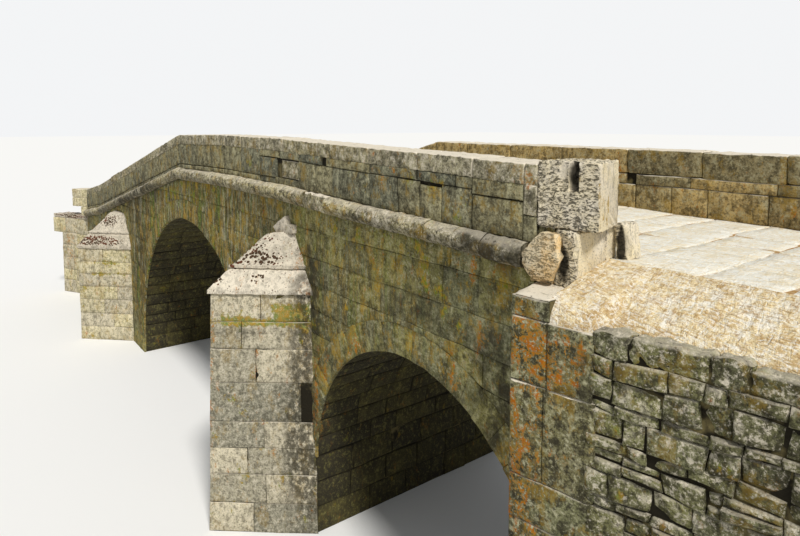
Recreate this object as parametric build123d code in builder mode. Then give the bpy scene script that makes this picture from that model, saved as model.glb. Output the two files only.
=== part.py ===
"""Old two-arched stone bridge with cutwaters, parapets and a stepped near wing wall.

Millimetres. +X runs along the road towards the near bank, -Y faces upstream (the near side),
+Z is up. The origin is the middle of the central pier's foot.
"""
from build123d import *

import math
import os

os.makedirs("parts", exist_ok=True)

# Widths across the road, and the road's drop below the crest
road_width = 3470.0
parapet_thickness = 500.0
paving_thickness = 150.0
road_drop = 950.0

# Arches and pier
pier_width = 2090.0
pier_height = 2600.0
left_arch_radius = 4100.0
left_springing_height = 450.0
left_ring_depth = 450.0
right_arch_radius = 2460.0
right_springing_height = 1320.0
right_ring_depth = 400.0
right_abutment_reach_in = 365.0

# Ends of the masonry
left_abutment_length = 7800.0
left_abutment_height = 2600.0
right_abutment_length = 3515.0
right_abutment_height = 3600.0

# Crest of the near parapet: distance along the road from the pier, and height against the ramp's
# head, which stands over the left arch's crown by the cover, the paving and the road's drop
crown_cover = 450.0
parapet_height = 800.0
coping_height = 220.0
far_coping_height = 370.0
string_height = 260.0
ramp_foot_run = 2400.0
ramp_foot_drop = 2300.0
ramp_bend_drop = 1940.0
ramp_head_x = -5545.0
summit_x = -2945.0
summit_rise = 40.0
middle_crest_x = -145.0
middle_rise = 15.0
near_fall_x = 2555.0
near_fall_drop = 70.0
near_end_drop = 150.0

# Far parapet, with a stretch of its coping missing
far_crest_drop = 140.0
missing_coping_start_x = -6545.0
missing_coping_end_x = -545.0

# Roll moulding of the string course
roll_radius = 130.0
roll_outset = 45.0
broken_stone_start_x = 900.0
broken_stone_length = 700.0
broken_stone_outset = 120.0
string_end_setback = 150.0

# Cutwaters of the central pier
cutwater_offset = -90.0
cutwater_half_width = 1050.0
cutwater_projection = 1270.0
cap_to_string = 305.0
cutwater_batter = 120.0
cap_overhang = 60.0
cap_band = 100.0
cap_height = 880.0
cap_head_half_width = 520.0
cap_head_projection = 325.0
apex_height = 170.0
apex_half_width = 470.0
apex_projection = 160.0
peak_height = 110.0
peak_half_width = 230.0
peak_projection = 150.0
peak_lean = 150.0
peak_tip_half_width = 50.0
peak_tip_projection = 60.0

# Buttresses of the left abutment
buttress_start = 1200.0
buttress_half_width = 1250.0
buttress_projection = 1270.0
buttress_cap_to_string = 200.0
buttress_cap_height = 1060.0
buttress_head_half_width = 660.0
buttress_head_projection = 330.0

# Left wing walls
wing_angle = 28.0
wing_length = 2000.0
wing_shaft_length = 1500.0
wing_head_height = 600.0
wing_thickness = 500.0
wing_coping_height = 150.0
flare_length = 900.0
flare_foot_length = 420.0
flare_foot_height = 360.0

# Near wing wall, with a corner of squared stones and a rubble run
wing_corner_projection = 500.0
wing_corner_skew = 165.0
wing_turn = 9.7
quoin_length = 770.0
quoin_step_length = 360.0
quoin_drop = 1200.0
quoin_step_height = 220.0

# Verge packing behind the near wing wall
verge_setback = 260.0
verge_toe_height = 60.0
verge_kerb_drop = 50.0

# Stones at the near end of the parapet
end_block_length = 690.0
end_block_thickness = 550.0
end_block_skew = 170.0
end_block_turn = 50.0
end_block_foot_drop = 610.0
end_block_rise = 50.0
lower_block_start = 200.0
lower_block_length = 275.0
lower_block_tail = 160.0
string_stone_outset = 150.0
string_stone_rise = 100.0
guard_stone_width = 110.0
guard_stone_length = 280.0
guard_stone_height = 420.0
guard_stone_lean = 50.0
guard_stone_gap = 15.0
guard_stone_inset = 120.0

# Places worked out from the driving dimensions
half_width = road_width / 2 + parapet_thickness
inner_y = road_width / 2
pier_half = pier_width / 2
left_centre_x = -pier_half - left_arch_radius
right_centre_x = pier_half + right_arch_radius
left_abutment_x = -pier_half - 2 * left_arch_radius
left_end_x = left_abutment_x - left_abutment_length
right_abutment_x = pier_half + 2 * right_arch_radius - right_abutment_reach_in
right_end_x = right_abutment_x + right_abutment_length
near_parapet_end_x = right_abutment_x
wall_line_drop = parapet_height + string_height

left_crown = left_springing_height + left_arch_radius + left_ring_depth
ramp_head_crest = left_crown + crown_cover + paving_thickness + road_drop
ramp_foot_crest = ramp_head_crest - ramp_foot_drop
ramp_bend_crest = ramp_head_crest - ramp_bend_drop
summit_crest = ramp_head_crest + summit_rise
middle_crest = ramp_head_crest + middle_rise
near_fall_crest = ramp_head_crest - near_fall_drop
near_end_crest = ramp_head_crest - near_end_drop

quoin_top = near_end_crest - quoin_drop
wing_top = quoin_top - quoin_step_height
end_block_bottom = near_end_crest - end_block_foot_drop
end_block_top = near_end_crest + end_block_rise

near_crest = [
    (left_end_x, ramp_foot_crest),
    (left_end_x + ramp_foot_run, ramp_bend_crest),
    (ramp_head_x, ramp_head_crest),
    (summit_x, summit_crest),
    (middle_crest_x, middle_crest),
    (near_fall_x, near_fall_crest),
    (near_parapet_end_x, near_end_crest),
    (right_end_x, near_end_crest),
]


def height_on(line, x):
    """Height of a line of (x, z) points at one station, straight between the points."""
    for (x0, z0), (x1, z1) in zip(line, line[1:]):
        if x <= x1:
            return z0 + (z1 - z0) * (x - x0) / (x1 - x0)
    return line[-1][1]


def stretch(line, start_x, end_x, drop=0.0):
    """Points of a line between two stations, lowered by a drop."""
    inside = [(x, z - drop) for x, z in line if start_x < x < end_x]
    first = (start_x, height_on(line, start_x) - drop)
    last = (end_x, height_on(line, end_x) - drop)
    return [first] + inside + [last]


far_crest = stretch(near_crest, left_end_x, missing_coping_start_x)
far_crest += stretch(near_crest, ramp_head_x, missing_coping_end_x, far_crest_drop)
far_crest += [(right_end_x, near_end_crest)]


def band(lower, upper):
    """Closed outline between a lower and an upper line."""
    return lower + upper[::-1]


def wall_plane(back_y):
    """Upright plane along the road; a positive extrusion comes towards the near side."""
    return Plane.XZ.offset(-back_y)


def add_band(outline, front_y, back_y):
    """Add an outline of (x, z) points to the current part, from one depth to another."""
    corners = [point for point, before in zip(outline, outline[-1:] + outline) if point != before]
    with BuildSketch(wall_plane(back_y)) as profile:
        with BuildLine():
            Polyline(*corners, close=True)
        make_face()
    extrude(profile.sketch, amount=back_y - front_y)


def add_plan(outline, bottom, top):
    """Add an outline of (x, y) points to the current part, between two heights."""
    with BuildSketch(Plane.XY.offset(bottom)) as plan:
        with BuildLine():
            Polyline(*outline, close=True)
        make_face()
    extrude(plan.sketch, amount=top - bottom)


def add_ring(centre_x, centre_z, inner_radius, depth):
    """Add the upper half of a ring that runs across the whole bridge."""
    with BuildSketch(wall_plane(half_width)) as half_ring:
        with BuildLine():
            outer = CenterArc((centre_x, centre_z), inner_radius + depth, 0, 180)
            inner = CenterArc((centre_x, centre_z), inner_radius, 0, 180)
            Line(outer @ 0, inner @ 0)
            Line(outer @ 1, inner @ 1)
        make_face()
    extrude(half_ring.sketch, amount=2 * half_width)


def cut_round(centre_x, centre_z, radius):
    """Cut the upper half of a cylinder that runs across the whole bridge."""
    with BuildSketch(wall_plane(half_width)) as half_disc:
        with BuildLine():
            arc = CenterArc((centre_x, centre_z), radius, 0, 180)
            Line(arc @ 1, arc @ 0)
        make_face()
    extrude(half_disc.sketch, amount=2 * half_width, mode=Mode.SUBTRACT)


def cut_rings():
    """Cut the room of both arch rings."""
    cut_round(left_centre_x, left_springing_height, left_arch_radius + left_ring_depth)
    cut_round(right_centre_x, right_springing_height, right_arch_radius + right_ring_depth)


def finish(part, label):
    """Name a piece and write it."""
    part.label = label
    export_step(part, "parts/" + label + ".step")


def mirrored(part, label):
    """Write the far side's copy of a near piece."""
    with BuildPart() as copy:
        mirror(part, about=Plane.XZ)
    finish(copy.part, label)


# Arch barrels, through the whole width
with BuildPart() as left_arch_barrel:
    add_ring(left_centre_x, left_springing_height, left_arch_radius, left_ring_depth)
finish(left_arch_barrel.part, "left_arch_barrel")

with BuildPart() as right_arch_barrel:
    add_ring(right_centre_x, right_springing_height, right_arch_radius, right_ring_depth)
    with BuildSketch(Plane.XY):
        with Locations((right_abutment_x, 0)):
            Rectangle(right_abutment_length, 2 * half_width, align=(Align.MIN, Align.CENTER))
    extrude(amount=right_springing_height + right_arch_radius, mode=Mode.SUBTRACT)
finish(right_arch_barrel.part, "right_arch_barrel")

# Central pier between the arches
with BuildPart() as central_pier:
    add_band(
        [(-pier_half, 0), (pier_half, 0), (pier_half, pier_height), (-pier_half, pier_height)],
        -half_width,
        half_width,
    )
    cut_rings()
finish(central_pier.part, "central_pier")

# Abutments
with BuildPart() as left_abutment:
    add_band(
        [
            (left_end_x, 0),
            (left_abutment_x, 0),
            (left_abutment_x, left_springing_height),
            (left_centre_x, left_springing_height),
            (left_centre_x, left_abutment_height),
            (left_end_x, left_abutment_height),
        ],
        -half_width,
        half_width,
    )
    cut_rings()
finish(left_abutment.part, "left_abutment")

with BuildPart() as right_abutment:
    add_plan(
        [
            (right_abutment_x, -inner_y),
            (right_end_x, -inner_y),
            (right_end_x, half_width),
            (right_abutment_x, half_width),
        ],
        0,
        right_abutment_height,
    )
finish(right_abutment.part, "right_abutment")


# Spandrel walls, in three pieces on each side
ledge_start_x = near_parapet_end_x - string_end_setback

with BuildPart() as near_left_spandrel:
    lower = [(left_end_x, left_abutment_height), (left_centre_x, left_abutment_height)]
    upper = stretch(near_crest, left_end_x, left_centre_x, wall_line_drop)
    add_band(band(lower, upper), -half_width, -inner_y)
    cut_rings()
finish(near_left_spandrel.part, "near_left_spandrel")
mirrored(near_left_spandrel.part, "far_left_spandrel")

with BuildPart() as near_middle_spandrel:
    lower = [(left_centre_x, pier_height), (right_centre_x, pier_height)]
    upper = stretch(near_crest, left_centre_x, right_centre_x, wall_line_drop)
    add_band(band(lower, upper), -half_width, -inner_y)
    cut_rings()
finish(near_middle_spandrel.part, "near_middle_spandrel")
mirrored(near_middle_spandrel.part, "far_middle_spandrel")

with BuildPart() as near_right_spandrel:
    lower = [(right_centre_x, right_springing_height), (right_abutment_x, right_springing_height)]
    upper = stretch(near_crest, right_centre_x, ledge_start_x, wall_line_drop)
    upper += [(ledge_start_x, quoin_top), (right_abutment_x, quoin_top)]
    add_band(band(lower, upper), -half_width, -inner_y)
    cut_rings()
finish(near_right_spandrel.part, "near_right_spandrel")

with BuildPart() as far_right_spandrel:
    lower = [
        (right_centre_x, right_springing_height),
        (right_abutment_x, right_springing_height),
        (right_abutment_x, right_abutment_height),
        (right_end_x, right_abutment_height),
    ]
    upper = stretch(near_crest, right_centre_x, right_end_x, wall_line_drop)
    add_band(band(lower, upper), inner_y, half_width)
    cut_rings()
finish(far_right_spandrel.part, "far_right_spandrel")

# Rubble fill between the spandrel walls, up to the paving
fill_drop = road_drop + paving_thickness

with BuildPart() as rubble_fill:
    lower = [
        (left_end_x, left_abutment_height),
        (left_centre_x, left_abutment_height),
        (left_centre_x, pier_height),
        (right_centre_x, pier_height),
        (right_centre_x, right_springing_height),
        (right_abutment_x, right_springing_height),
        (right_abutment_x, right_abutment_height),
        (right_end_x, right_abutment_height),
    ]
    upper = stretch(near_crest, left_end_x, right_end_x, fill_drop)
    add_band(band(lower, upper), -inner_y, inner_y)
    cut_rings()
finish(rubble_fill.part, "rubble_fill")

# Road paving between the parapets
with BuildPart() as road_paving:
    lower = stretch(near_crest, left_end_x, right_end_x, fill_drop)
    upper = stretch(near_crest, left_end_x, right_end_x, road_drop)
    add_band(band(lower, upper), -inner_y, inner_y)
finish(road_paving.part, "road_paving")


def string_course(start_x, end_x):
    """Squared tail under the parapet with a round moulding along the near face."""
    lower = stretch(near_crest, start_x, end_x, wall_line_drop)
    upper = stretch(near_crest, start_x, end_x, parapet_height)
    add_band(band(lower, upper), -half_width, -inner_y)
    centre = stretch(near_crest, start_x, end_x, parapet_height + string_height / 2)
    roll_y = -half_width - roll_outset
    for span in zip(centre, centre[1:]):
        ends = []
        for x, z in span:
            with BuildSketch(Plane.YZ.offset(x)) as section:
                with Locations((roll_y, z)):
                    Circle(roll_radius)
            ends.append(section.sketch)
        loft(ends, ruled=True)


# String courses
with BuildPart() as near_left_string:
    string_course(left_end_x, broken_stone_start_x)
finish(near_left_string.part, "near_left_string")

broken_stone_end_x = broken_stone_start_x + broken_stone_length

with BuildPart() as near_broken_string_stone:
    lower = stretch(near_crest, broken_stone_start_x, broken_stone_end_x, wall_line_drop)
    upper = stretch(near_crest, broken_stone_start_x, broken_stone_end_x, parapet_height)
    add_band(band(lower, upper), -half_width - broken_stone_outset, -inner_y)
finish(near_broken_string_stone.part, "near_broken_string_stone")

with BuildPart() as near_right_string:
    string_course(broken_stone_end_x, ledge_start_x)
finish(near_right_string.part, "near_right_string")

with BuildPart() as whole_string:
    string_course(left_end_x, right_end_x)
mirrored(whole_string.part, "far_string")

# Parapet walls and their coping
with BuildPart() as near_parapet:
    lower = stretch(near_crest, left_end_x, near_parapet_end_x, parapet_height)
    upper = stretch(near_crest, left_end_x, near_parapet_end_x, coping_height)
    add_band(band(lower, upper), -half_width, -inner_y)
finish(near_parapet.part, "near_parapet")

with BuildPart() as near_coping:
    lower = stretch(near_crest, left_end_x, near_parapet_end_x, coping_height)
    upper = stretch(near_crest, left_end_x, near_parapet_end_x)
    add_band(band(lower, upper), -half_width, -inner_y)
finish(near_coping.part, "near_coping")

with BuildPart() as far_parapet:
    lower = stretch(near_crest, left_end_x, right_end_x, parapet_height)
    upper = stretch(far_crest, left_end_x, right_end_x, far_coping_height)
    add_band(band(lower, upper), inner_y, half_width)
finish(far_parapet.part, "far_parapet")

with BuildPart() as far_left_coping:
    lower = stretch(far_crest, left_end_x, missing_coping_start_x, far_coping_height)
    upper = stretch(far_crest, left_end_x, missing_coping_start_x)
    add_band(band(lower, upper), inner_y, half_width)
finish(far_left_coping.part, "far_left_coping")

with BuildPart() as far_right_coping:
    lower = stretch(far_crest, missing_coping_end_x, right_end_x, far_coping_height)
    upper = stretch(far_crest, missing_coping_end_x, right_end_x)
    add_band(band(lower, upper), inner_y, half_width)
finish(far_right_coping.part, "far_right_coping")


def add_loft(lower_outline, bottom, upper_outline, top):
    """Add a straight-sided solid between two level outlines."""
    with BuildSketch(Plane.XY.offset(bottom)) as lower_plan:
        with BuildLine():
            Polyline(*lower_outline, close=True)
        make_face()
    with BuildSketch(Plane.XY.offset(top)) as upper_plan:
        with BuildLine():
            Polyline(*upper_outline, close=True)
        make_face()
    loft([lower_plan.sketch, upper_plan.sketch], ruled=True)


def point_plan(centre_x, base_y, reach, half_span):
    """Triangular plan of a cutwater: its nose stands out from a wall."""
    return [
        (centre_x - half_span, base_y),
        (centre_x, base_y - reach),
        (centre_x + half_span, base_y),
    ]


# Cutwaters of the central pier, whose caps stay clear of the string course
cap_top = middle_crest - wall_line_drop - cap_to_string
cutwater_height = cap_top - peak_height - apex_height - cap_height

with BuildPart() as near_cutwater:
    add_loft(
        point_plan(
            cutwater_offset,
            -half_width,
            cutwater_projection + cutwater_batter,
            cutwater_half_width + cutwater_batter,
        ),
        0,
        point_plan(cutwater_offset, -half_width, cutwater_projection, cutwater_half_width),
        cutwater_height,
    )
finish(near_cutwater.part, "near_cutwater")
mirrored(near_cutwater.part, "far_cutwater")

with BuildPart() as near_cutwater_cap:
    eaves = point_plan(
        cutwater_offset,
        -half_width,
        cutwater_projection + cap_overhang,
        cutwater_half_width + cap_overhang,
    )
    add_plan(eaves, cutwater_height, cutwater_height + cap_band)
    head = point_plan(cutwater_offset, -half_width, cap_head_projection, cap_head_half_width)
    add_loft(eaves, cutwater_height + cap_band, head, cutwater_height + cap_height)
    apex = point_plan(cutwater_offset, -half_width, apex_projection, apex_half_width)
    apex_bottom = cutwater_height + cap_height
    apex_top = apex_bottom + apex_height
    add_plan(apex, apex_bottom, apex_top)
    foot = point_plan(cutwater_offset, -half_width, peak_projection, peak_half_width)
    tip_x = cutwater_offset + peak_lean
    tip = point_plan(tip_x, -half_width, peak_tip_projection, peak_tip_half_width)
    add_loft(foot, apex_top, tip, apex_top + peak_height)
finish(near_cutwater_cap.part, "near_cutwater_cap")
mirrored(near_cutwater_cap.part, "far_cutwater_cap")

# Pointed buttresses of the left abutment
buttress_x = left_abutment_x - buttress_start - buttress_half_width
buttress_cap_top = height_on(near_crest, buttress_x) - wall_line_drop - buttress_cap_to_string
buttress_height = buttress_cap_top - buttress_cap_height

with BuildPart() as near_buttress:
    add_plan(
        point_plan(buttress_x, -half_width, buttress_projection, buttress_half_width),
        0,
        buttress_height,
    )
finish(near_buttress.part, "near_buttress")
mirrored(near_buttress.part, "far_buttress")

with BuildPart() as near_buttress_cap:
    eaves = point_plan(
        buttress_x,
        -half_width,
        buttress_projection + cap_overhang,
        buttress_half_width + cap_overhang,
    )
    add_plan(eaves, buttress_height, buttress_height + cap_band)
    head = point_plan(
        buttress_x,
        -half_width,
        buttress_head_projection,
        buttress_head_half_width,
    )
    add_loft(eaves, buttress_height + cap_band, head, buttress_height + buttress_cap_height)
finish(near_buttress_cap.part, "near_buttress_cap")
mirrored(near_buttress_cap.part, "far_buttress_cap")

# Left wing walls, and the parapet stones that flare with them
wing_turn_left = math.radians(wing_angle)
wing_along = (-math.cos(wing_turn_left), -math.sin(wing_turn_left))
wing_root_thickness = wing_thickness / math.cos(wing_turn_left)


def wing_plan(length):
    """Plan of a wall that leaves the left end of the near face and turns outwards."""
    end_x = left_end_x + length * wing_along[0]
    end_y = -half_width + length * wing_along[1]
    return [
        (left_end_x, -half_width),
        (end_x, end_y),
        (end_x, end_y + wing_root_thickness),
        (left_end_x, -half_width + wing_root_thickness),
    ]


flare_bottom = ramp_foot_crest - wall_line_drop

wing_head_top = flare_bottom - wing_coping_height
wing_shaft_top = wing_head_top - wing_head_height
flare_foot_top = flare_bottom + flare_foot_height

with BuildPart() as near_left_wing_wall:
    add_plan(wing_plan(wing_shaft_length), 0, wing_shaft_top)
    add_plan(wing_plan(wing_length), wing_shaft_top, wing_head_top)
finish(near_left_wing_wall.part, "near_left_wing_wall")
mirrored(near_left_wing_wall.part, "far_left_wing_wall")

with BuildPart() as near_left_wing_coping:
    add_plan(wing_plan(wing_length), wing_head_top, flare_bottom)
finish(near_left_wing_coping.part, "near_left_wing_coping")
mirrored(near_left_wing_coping.part, "far_left_wing_coping")

with BuildPart() as near_left_flare:
    add_plan(wing_plan(flare_foot_length), flare_bottom, flare_foot_top)
    add_plan(wing_plan(flare_length), flare_foot_top, ramp_foot_crest)
finish(near_left_flare.part, "near_left_flare")
mirrored(near_left_flare.part, "far_left_flare")

# Near wing wall beside the right arch
wing_slope = math.tan(math.radians(wing_turn))
corner_x = right_abutment_x + wing_corner_skew
corner_y = -half_width - wing_corner_projection


def right_wing_front(along):
    """Point of the near wing wall's front line at a distance along the road."""
    return (corner_x + along, corner_y + along * wing_slope)


with BuildPart() as near_wing_quoins:
    front_start = right_wing_front(0)
    front_end = right_wing_front(quoin_length)
    step = right_wing_front(quoin_step_length)
    plan = [(right_abutment_x, -half_width), front_start, front_end, (front_end[0], -inner_y)]
    plan += [(right_abutment_x, -inner_y)]
    add_plan(plan, 0, wing_top)
    step_plan = [(right_abutment_x, -half_width), front_start, step, (step[0], -inner_y)]
    step_plan += [(right_abutment_x, -inner_y)]
    add_plan(step_plan, wing_top, quoin_top)
finish(near_wing_quoins.part, "near_wing_quoins")

wing_rest = right_end_x - corner_x

with BuildPart() as near_wing_rubble:
    front_start = right_wing_front(quoin_length)
    front_end = right_wing_front(wing_rest)
    plan = [front_start, front_end, (front_end[0], -inner_y), (front_start[0], -inner_y)]
    add_plan(plan, 0, wing_top)
finish(near_wing_rubble.part, "near_wing_rubble")

# Stone packing of the verge, from the road's edge down to the wing wall's top
with BuildPart() as near_verge_packing:
    sections = []
    for along in (quoin_step_length, wing_rest):
        front_x, front_y = right_wing_front(along)
        toe_y = front_y + verge_setback
        head_z = near_end_crest - road_drop - verge_kerb_drop
        with BuildSketch(Plane.YZ.offset(front_x)) as section:
            with BuildLine():
                Polyline(
                    (toe_y, wing_top),
                    (-inner_y, wing_top),
                    (-inner_y, head_z),
                    (toe_y, wing_top + verge_toe_height),
                    close=True,
                )
            make_face()
        sections.append(section.sketch)
    loft(sections, ruled=True)
finish(near_verge_packing.part, "near_verge_packing")

# Stones at the near end of the parapet
lower_block_x = near_parapet_end_x + lower_block_start
string_top = near_end_crest - parapet_height
end_block_x = near_parapet_end_x + end_block_length
end_block_back = -half_width + end_block_thickness

with BuildPart() as near_end_block:
    add_plan(
        [
            (near_parapet_end_x, -half_width),
            (end_block_x, -half_width + end_block_turn),
            (end_block_x - end_block_skew, end_block_back + end_block_turn),
            (near_parapet_end_x, end_block_back),
        ],
        end_block_bottom,
        end_block_top,
    )
finish(near_end_block.part, "near_end_block")

road_end_level = near_end_crest - road_drop


def lower_block_plan(back_y):
    """Plan of the lower block, from the wall's face to a depth."""
    far_x = lower_block_x + lower_block_length
    front_y = -half_width
    return [(lower_block_x, front_y), (far_x, front_y), (far_x, back_y), (lower_block_x, back_y)]


with BuildPart() as near_lower_end_block:
    add_plan(lower_block_plan(-inner_y), quoin_top, end_block_bottom)
    tail = lower_block_plan(-inner_y + lower_block_tail)
    add_plan(tail, road_end_level, end_block_bottom)
finish(near_lower_end_block.part, "near_lower_end_block")

with BuildPart() as near_string_end_stone:
    add_band(
        [
            (ledge_start_x, quoin_top),
            (lower_block_x, quoin_top),
            (lower_block_x, string_top + string_stone_rise),
            (near_parapet_end_x, string_top + string_stone_rise),
            (near_parapet_end_x, string_top),
            (ledge_start_x, string_top),
        ],
        -half_width - string_stone_outset,
        -inner_y,
    )
finish(near_string_end_stone.part, "near_string_end_stone")

guard_stone_x = end_block_x - end_block_skew + guard_stone_gap
guard_stone_y = -inner_y + guard_stone_inset

with BuildPart() as near_guard_stone:
    foot = [
        (guard_stone_x, guard_stone_y),
        (guard_stone_x + guard_stone_width, guard_stone_y),
        (guard_stone_x + guard_stone_width, guard_stone_y + guard_stone_length),
        (guard_stone_x, guard_stone_y + guard_stone_length),
    ]
    leaned = [(x - guard_stone_lean, y) for x, y in foot]
    add_loft(foot, road_end_level, leaned, road_end_level + guard_stone_height)
finish(near_guard_stone.part, "near_guard_stone")
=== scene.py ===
"""Weathered masonry for an old two-arched stone bridge.

Every wall, arch, coping and cap of the frame gets its stones. A stone is a surface worked out on a
grid with numpy: a panel of a wall with rounded edges, or a closed section carried along a path.
Metres throughout. +X runs along the road towards the near bank, -Y is the near side, +Z is up.
"""

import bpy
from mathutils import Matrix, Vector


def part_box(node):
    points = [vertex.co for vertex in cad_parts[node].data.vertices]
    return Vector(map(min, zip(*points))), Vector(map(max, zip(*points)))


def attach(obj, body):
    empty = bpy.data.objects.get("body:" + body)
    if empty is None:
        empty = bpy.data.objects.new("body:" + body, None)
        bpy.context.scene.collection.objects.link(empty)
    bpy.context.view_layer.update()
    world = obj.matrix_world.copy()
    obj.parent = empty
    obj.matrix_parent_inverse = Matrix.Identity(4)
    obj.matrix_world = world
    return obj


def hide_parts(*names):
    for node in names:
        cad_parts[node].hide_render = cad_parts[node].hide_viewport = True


bl_info = {
    "name": "Stone Arch Bridge Masonry",
    "version": (1, 0, 0),
    "blender": (4, 5, 0),
    "location": "View3D > Sidebar > Bridge",
    "description": "Lays weathered stones over the solids of an old two-arched bridge",
    "category": "Add Mesh",
}

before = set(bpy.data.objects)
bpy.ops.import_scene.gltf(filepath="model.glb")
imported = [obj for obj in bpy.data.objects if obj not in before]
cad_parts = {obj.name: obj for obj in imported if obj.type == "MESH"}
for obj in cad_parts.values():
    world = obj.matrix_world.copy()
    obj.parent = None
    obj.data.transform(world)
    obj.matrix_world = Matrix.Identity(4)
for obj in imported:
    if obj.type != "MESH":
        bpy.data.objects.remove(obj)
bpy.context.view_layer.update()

import math

import bpy
import numpy as np

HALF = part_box("central_pier")[1].y
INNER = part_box("road_paving")[1].y
LEFT_END, RIGHT_END = (corner.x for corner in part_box("road_paving"))
PARAPET_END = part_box("near_parapet")[1].x

# Crest of the near parapet and of the far one: stations along the road, and heights
CREST_X = np.array([LEFT_END, -14.645, -5.545, -2.945, -0.145, 2.555, PARAPET_END, RIGHT_END])
CREST_Z = np.array([4.25, 4.61, 6.55, 6.59, 6.565, 6.48, 6.4, 6.4])
FAR_X = np.array([LEFT_END, -14.645, -6.545, -5.545, -2.945, -0.545, RIGHT_END])
FAR_Z = np.array([4.25, 4.61, 6.337, 6.41, 6.45, 6.4286, 6.4])
MISSING_COPING = (-6.545, -0.545)

# Drops below the crest
PARAPET_DROP = 0.8
WALL_DROP = 1.06
ROAD_DROP = 0.95

# Arches: centre x, springing z, clear radius, ring depth
LEFT_ARCH = (-5.145, 0.45, 4.1, 0.45)
RIGHT_ARCH = (3.505, 1.32, 2.46, 0.4)
# Angles from the crown at which the right arch meets the abutment: its ring and its soffit
LAST_VOUSSOIR = 1.02
LAST_SOFFIT = 1.019

# Levels of the side walls' courses
WALL_HEIGHTS = (0, 0.45, 0.885, 1.32, 1.75, 2.17, 2.6, 3.02, 3.42, 3.83, 4.24, 4.66, 5.1, 5.6)
# Each side's sign of Y, and its name
SIDES = ((-1, "near"), (1, "far"))

# Near wing wall: its angle to the road, where its front line starts, and its length along the road
WING_TURN = math.radians(9.7)
WING_CORNER = (5.765, -2.735)
WING_LENGTH = RIGHT_END - WING_CORNER[0]

# Least width of a wall stone, and angle over which an edge is sharp
SHORTEST = 0.06
SHARP = math.radians(48)


def near_crest(x):
    """Height of the near crest, straight between its points."""
    return np.interp(x, CREST_X, CREST_Z)


def far_crest(x):
    """Height of the far crest, straight between its points."""
    return np.interp(x, FAR_X, FAR_Z)


def shade(name, description, *rgb):
    """Colour property from three sRGB bytes."""
    linear = tuple(((c / 255 + 0.055) / 1.055) ** 2.4 if c > 10 else c / 255 / 12.92 for c in rgb)
    return bpy.props.FloatVectorProperty(
        name=name, description=description, subtype="COLOR", size=3, min=0, max=1, default=linear)


def length(name, description, default):
    return bpy.props.FloatProperty(
        name=name, description=description, default=default, min=0, subtype="DISTANCE", unit="LENGTH")


class BridgeSizes(bpy.types.PropertyGroup):
    """Sizes of the stones and of their joints."""

    joint: length("Joint", "Open width between two dressed stones", 0.006)
    arris: length("Arris", "How far a dressed stone's edge is worn round", 0.013)
    proud: length("Proud", "How far the stones stand before the solid behind them", 0.03)
    wall_stone: length("Wall stone", "Usual length of a stone in the side walls", 0.82)
    parapet_stone: length("Parapet stone", "Usual length of a parapet stone", 0.85)
    soffit_stone: length("Soffit stone", "Usual length of a stone under an arch", 0.75)
    voussoir: length("Arch stone", "Usual width of an arch stone at the ring's outside", 0.36)
    roll_stone: length("Roll stone", "Usual length of a string course stone", 1.05)
    slab: length("Road slab", "Usual length of a road slab", 0.7)
    roll_radius: length("Roll radius", "Radius of the string course's roll", 0.13)
    roll_outset: length("Roll outset", "How far the roll's centre stands before the wall", 0.045)
    camera_lens: bpy.props.FloatProperty(
        name="Lens", description="Focal length in millimetres", default=27.501, min=1)


class BridgeColours(bpy.types.PropertyGroup):
    """Colours of the stones and of what has grown and run over them."""

    wall: shade("Wall", "Side walls between and beside the arches", 154, 148, 86)
    wall_other: shade("Wall, other stones", "Stones of a second colour", 124, 124, 88)
    parapet: shade("Parapet", "Outer face of the parapet", 162, 154, 116)
    parapet_other: shade("Parapet, other stones", "Greyer stones of the parapet", 118, 120, 102)
    coping: shade("Coping", "Face of the coping", 182, 174, 142)
    # Pale colour of bleached stone and pale grit, also laid as painted sunlight on upward faces and as painted
    # highlight on picked ridges
    bleached_and_sunlit: shade("Bleached", "Upward faces bleached by the sun", 228, 218, 198)
    roll: shade("Roll", "Round string course", 194, 184, 138)
    cutwater: shade("Cutwater", "Shafts of the cutwaters and buttresses", 214, 204, 176)
    cutwater_other: shade("Cutwater, other stones", "Darker stones of the cutwaters", 152, 148, 128)
    cap: shade("Cap", "Sloping caps of the cutwaters", 196, 186, 166)
    # The dark soffit colour is painted shade of the arches' interior
    soffit: shade("Soffit", "Undersides of the arches", 72, 66, 38)
    quoin: shade("Quoin", "Squared corner of the near wing wall", 126, 120, 82)
    rubble: shade("Rubble", "Rough stones of the near wing wall", 130, 129, 84)
    warm: shade("Inner face", "Road side of the parapets", 202, 174, 114)
    warm_other: shade("Inner face, other stones", "Browner stones of the road side", 150, 138, 102)
    pale: shade("End stones", "Pale stones at the parapet's end", 232, 218, 184)
    beige: shade("Broken string end", "Beige stone where the roll ends", 236, 202, 146)
    buttress: shade("Buttress", "Shafts of the left buttresses and wings", 230, 218, 172)
    road: shade("Road", "Worn slabs of the road", 252, 248, 236)
    straw: shade("Verge", "Dry straw and dust of the verge", 238, 218, 172)
    earth: shade("Earth", "Bare earth between the straw", 176, 138, 84)
    # Also laid over dark patches of the picked stones, some of which are painted shade
    joint: shade("Joint", "Open joints and the solid behind the stones", 34, 30, 20)
    silt: shade("Filled joint", "Joints that are filled with silt and dust", 108, 98, 64)
    crust_and_shade: shade("Dark crust", "Dark crust and water runs", 50, 46, 34)
    chalk: shade("Pale runs", "Lime runs", 186, 182, 150)
    moss: shade("Moss", "Moss on damp stone", 104, 120, 34)
    ochre: shade("Ochre", "Yellow lichen", 172, 138, 44)
    # Dark crust and water runs, also laid as painted shade under the roll, in picked hollows and over dark patches
    rust: shade("Rust", "Orange lichen", 168, 96, 14)
    spot: shade("Spots", "Clustered dark lichen", 88, 62, 42)
    red_spot: shade("Red spots", "Clustered red-brown lichen", 122, 66, 42)


def sizes():
    return bpy.context.scene.bridge_sizes


def colours():
    return bpy.context.scene.bridge_colours


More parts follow.
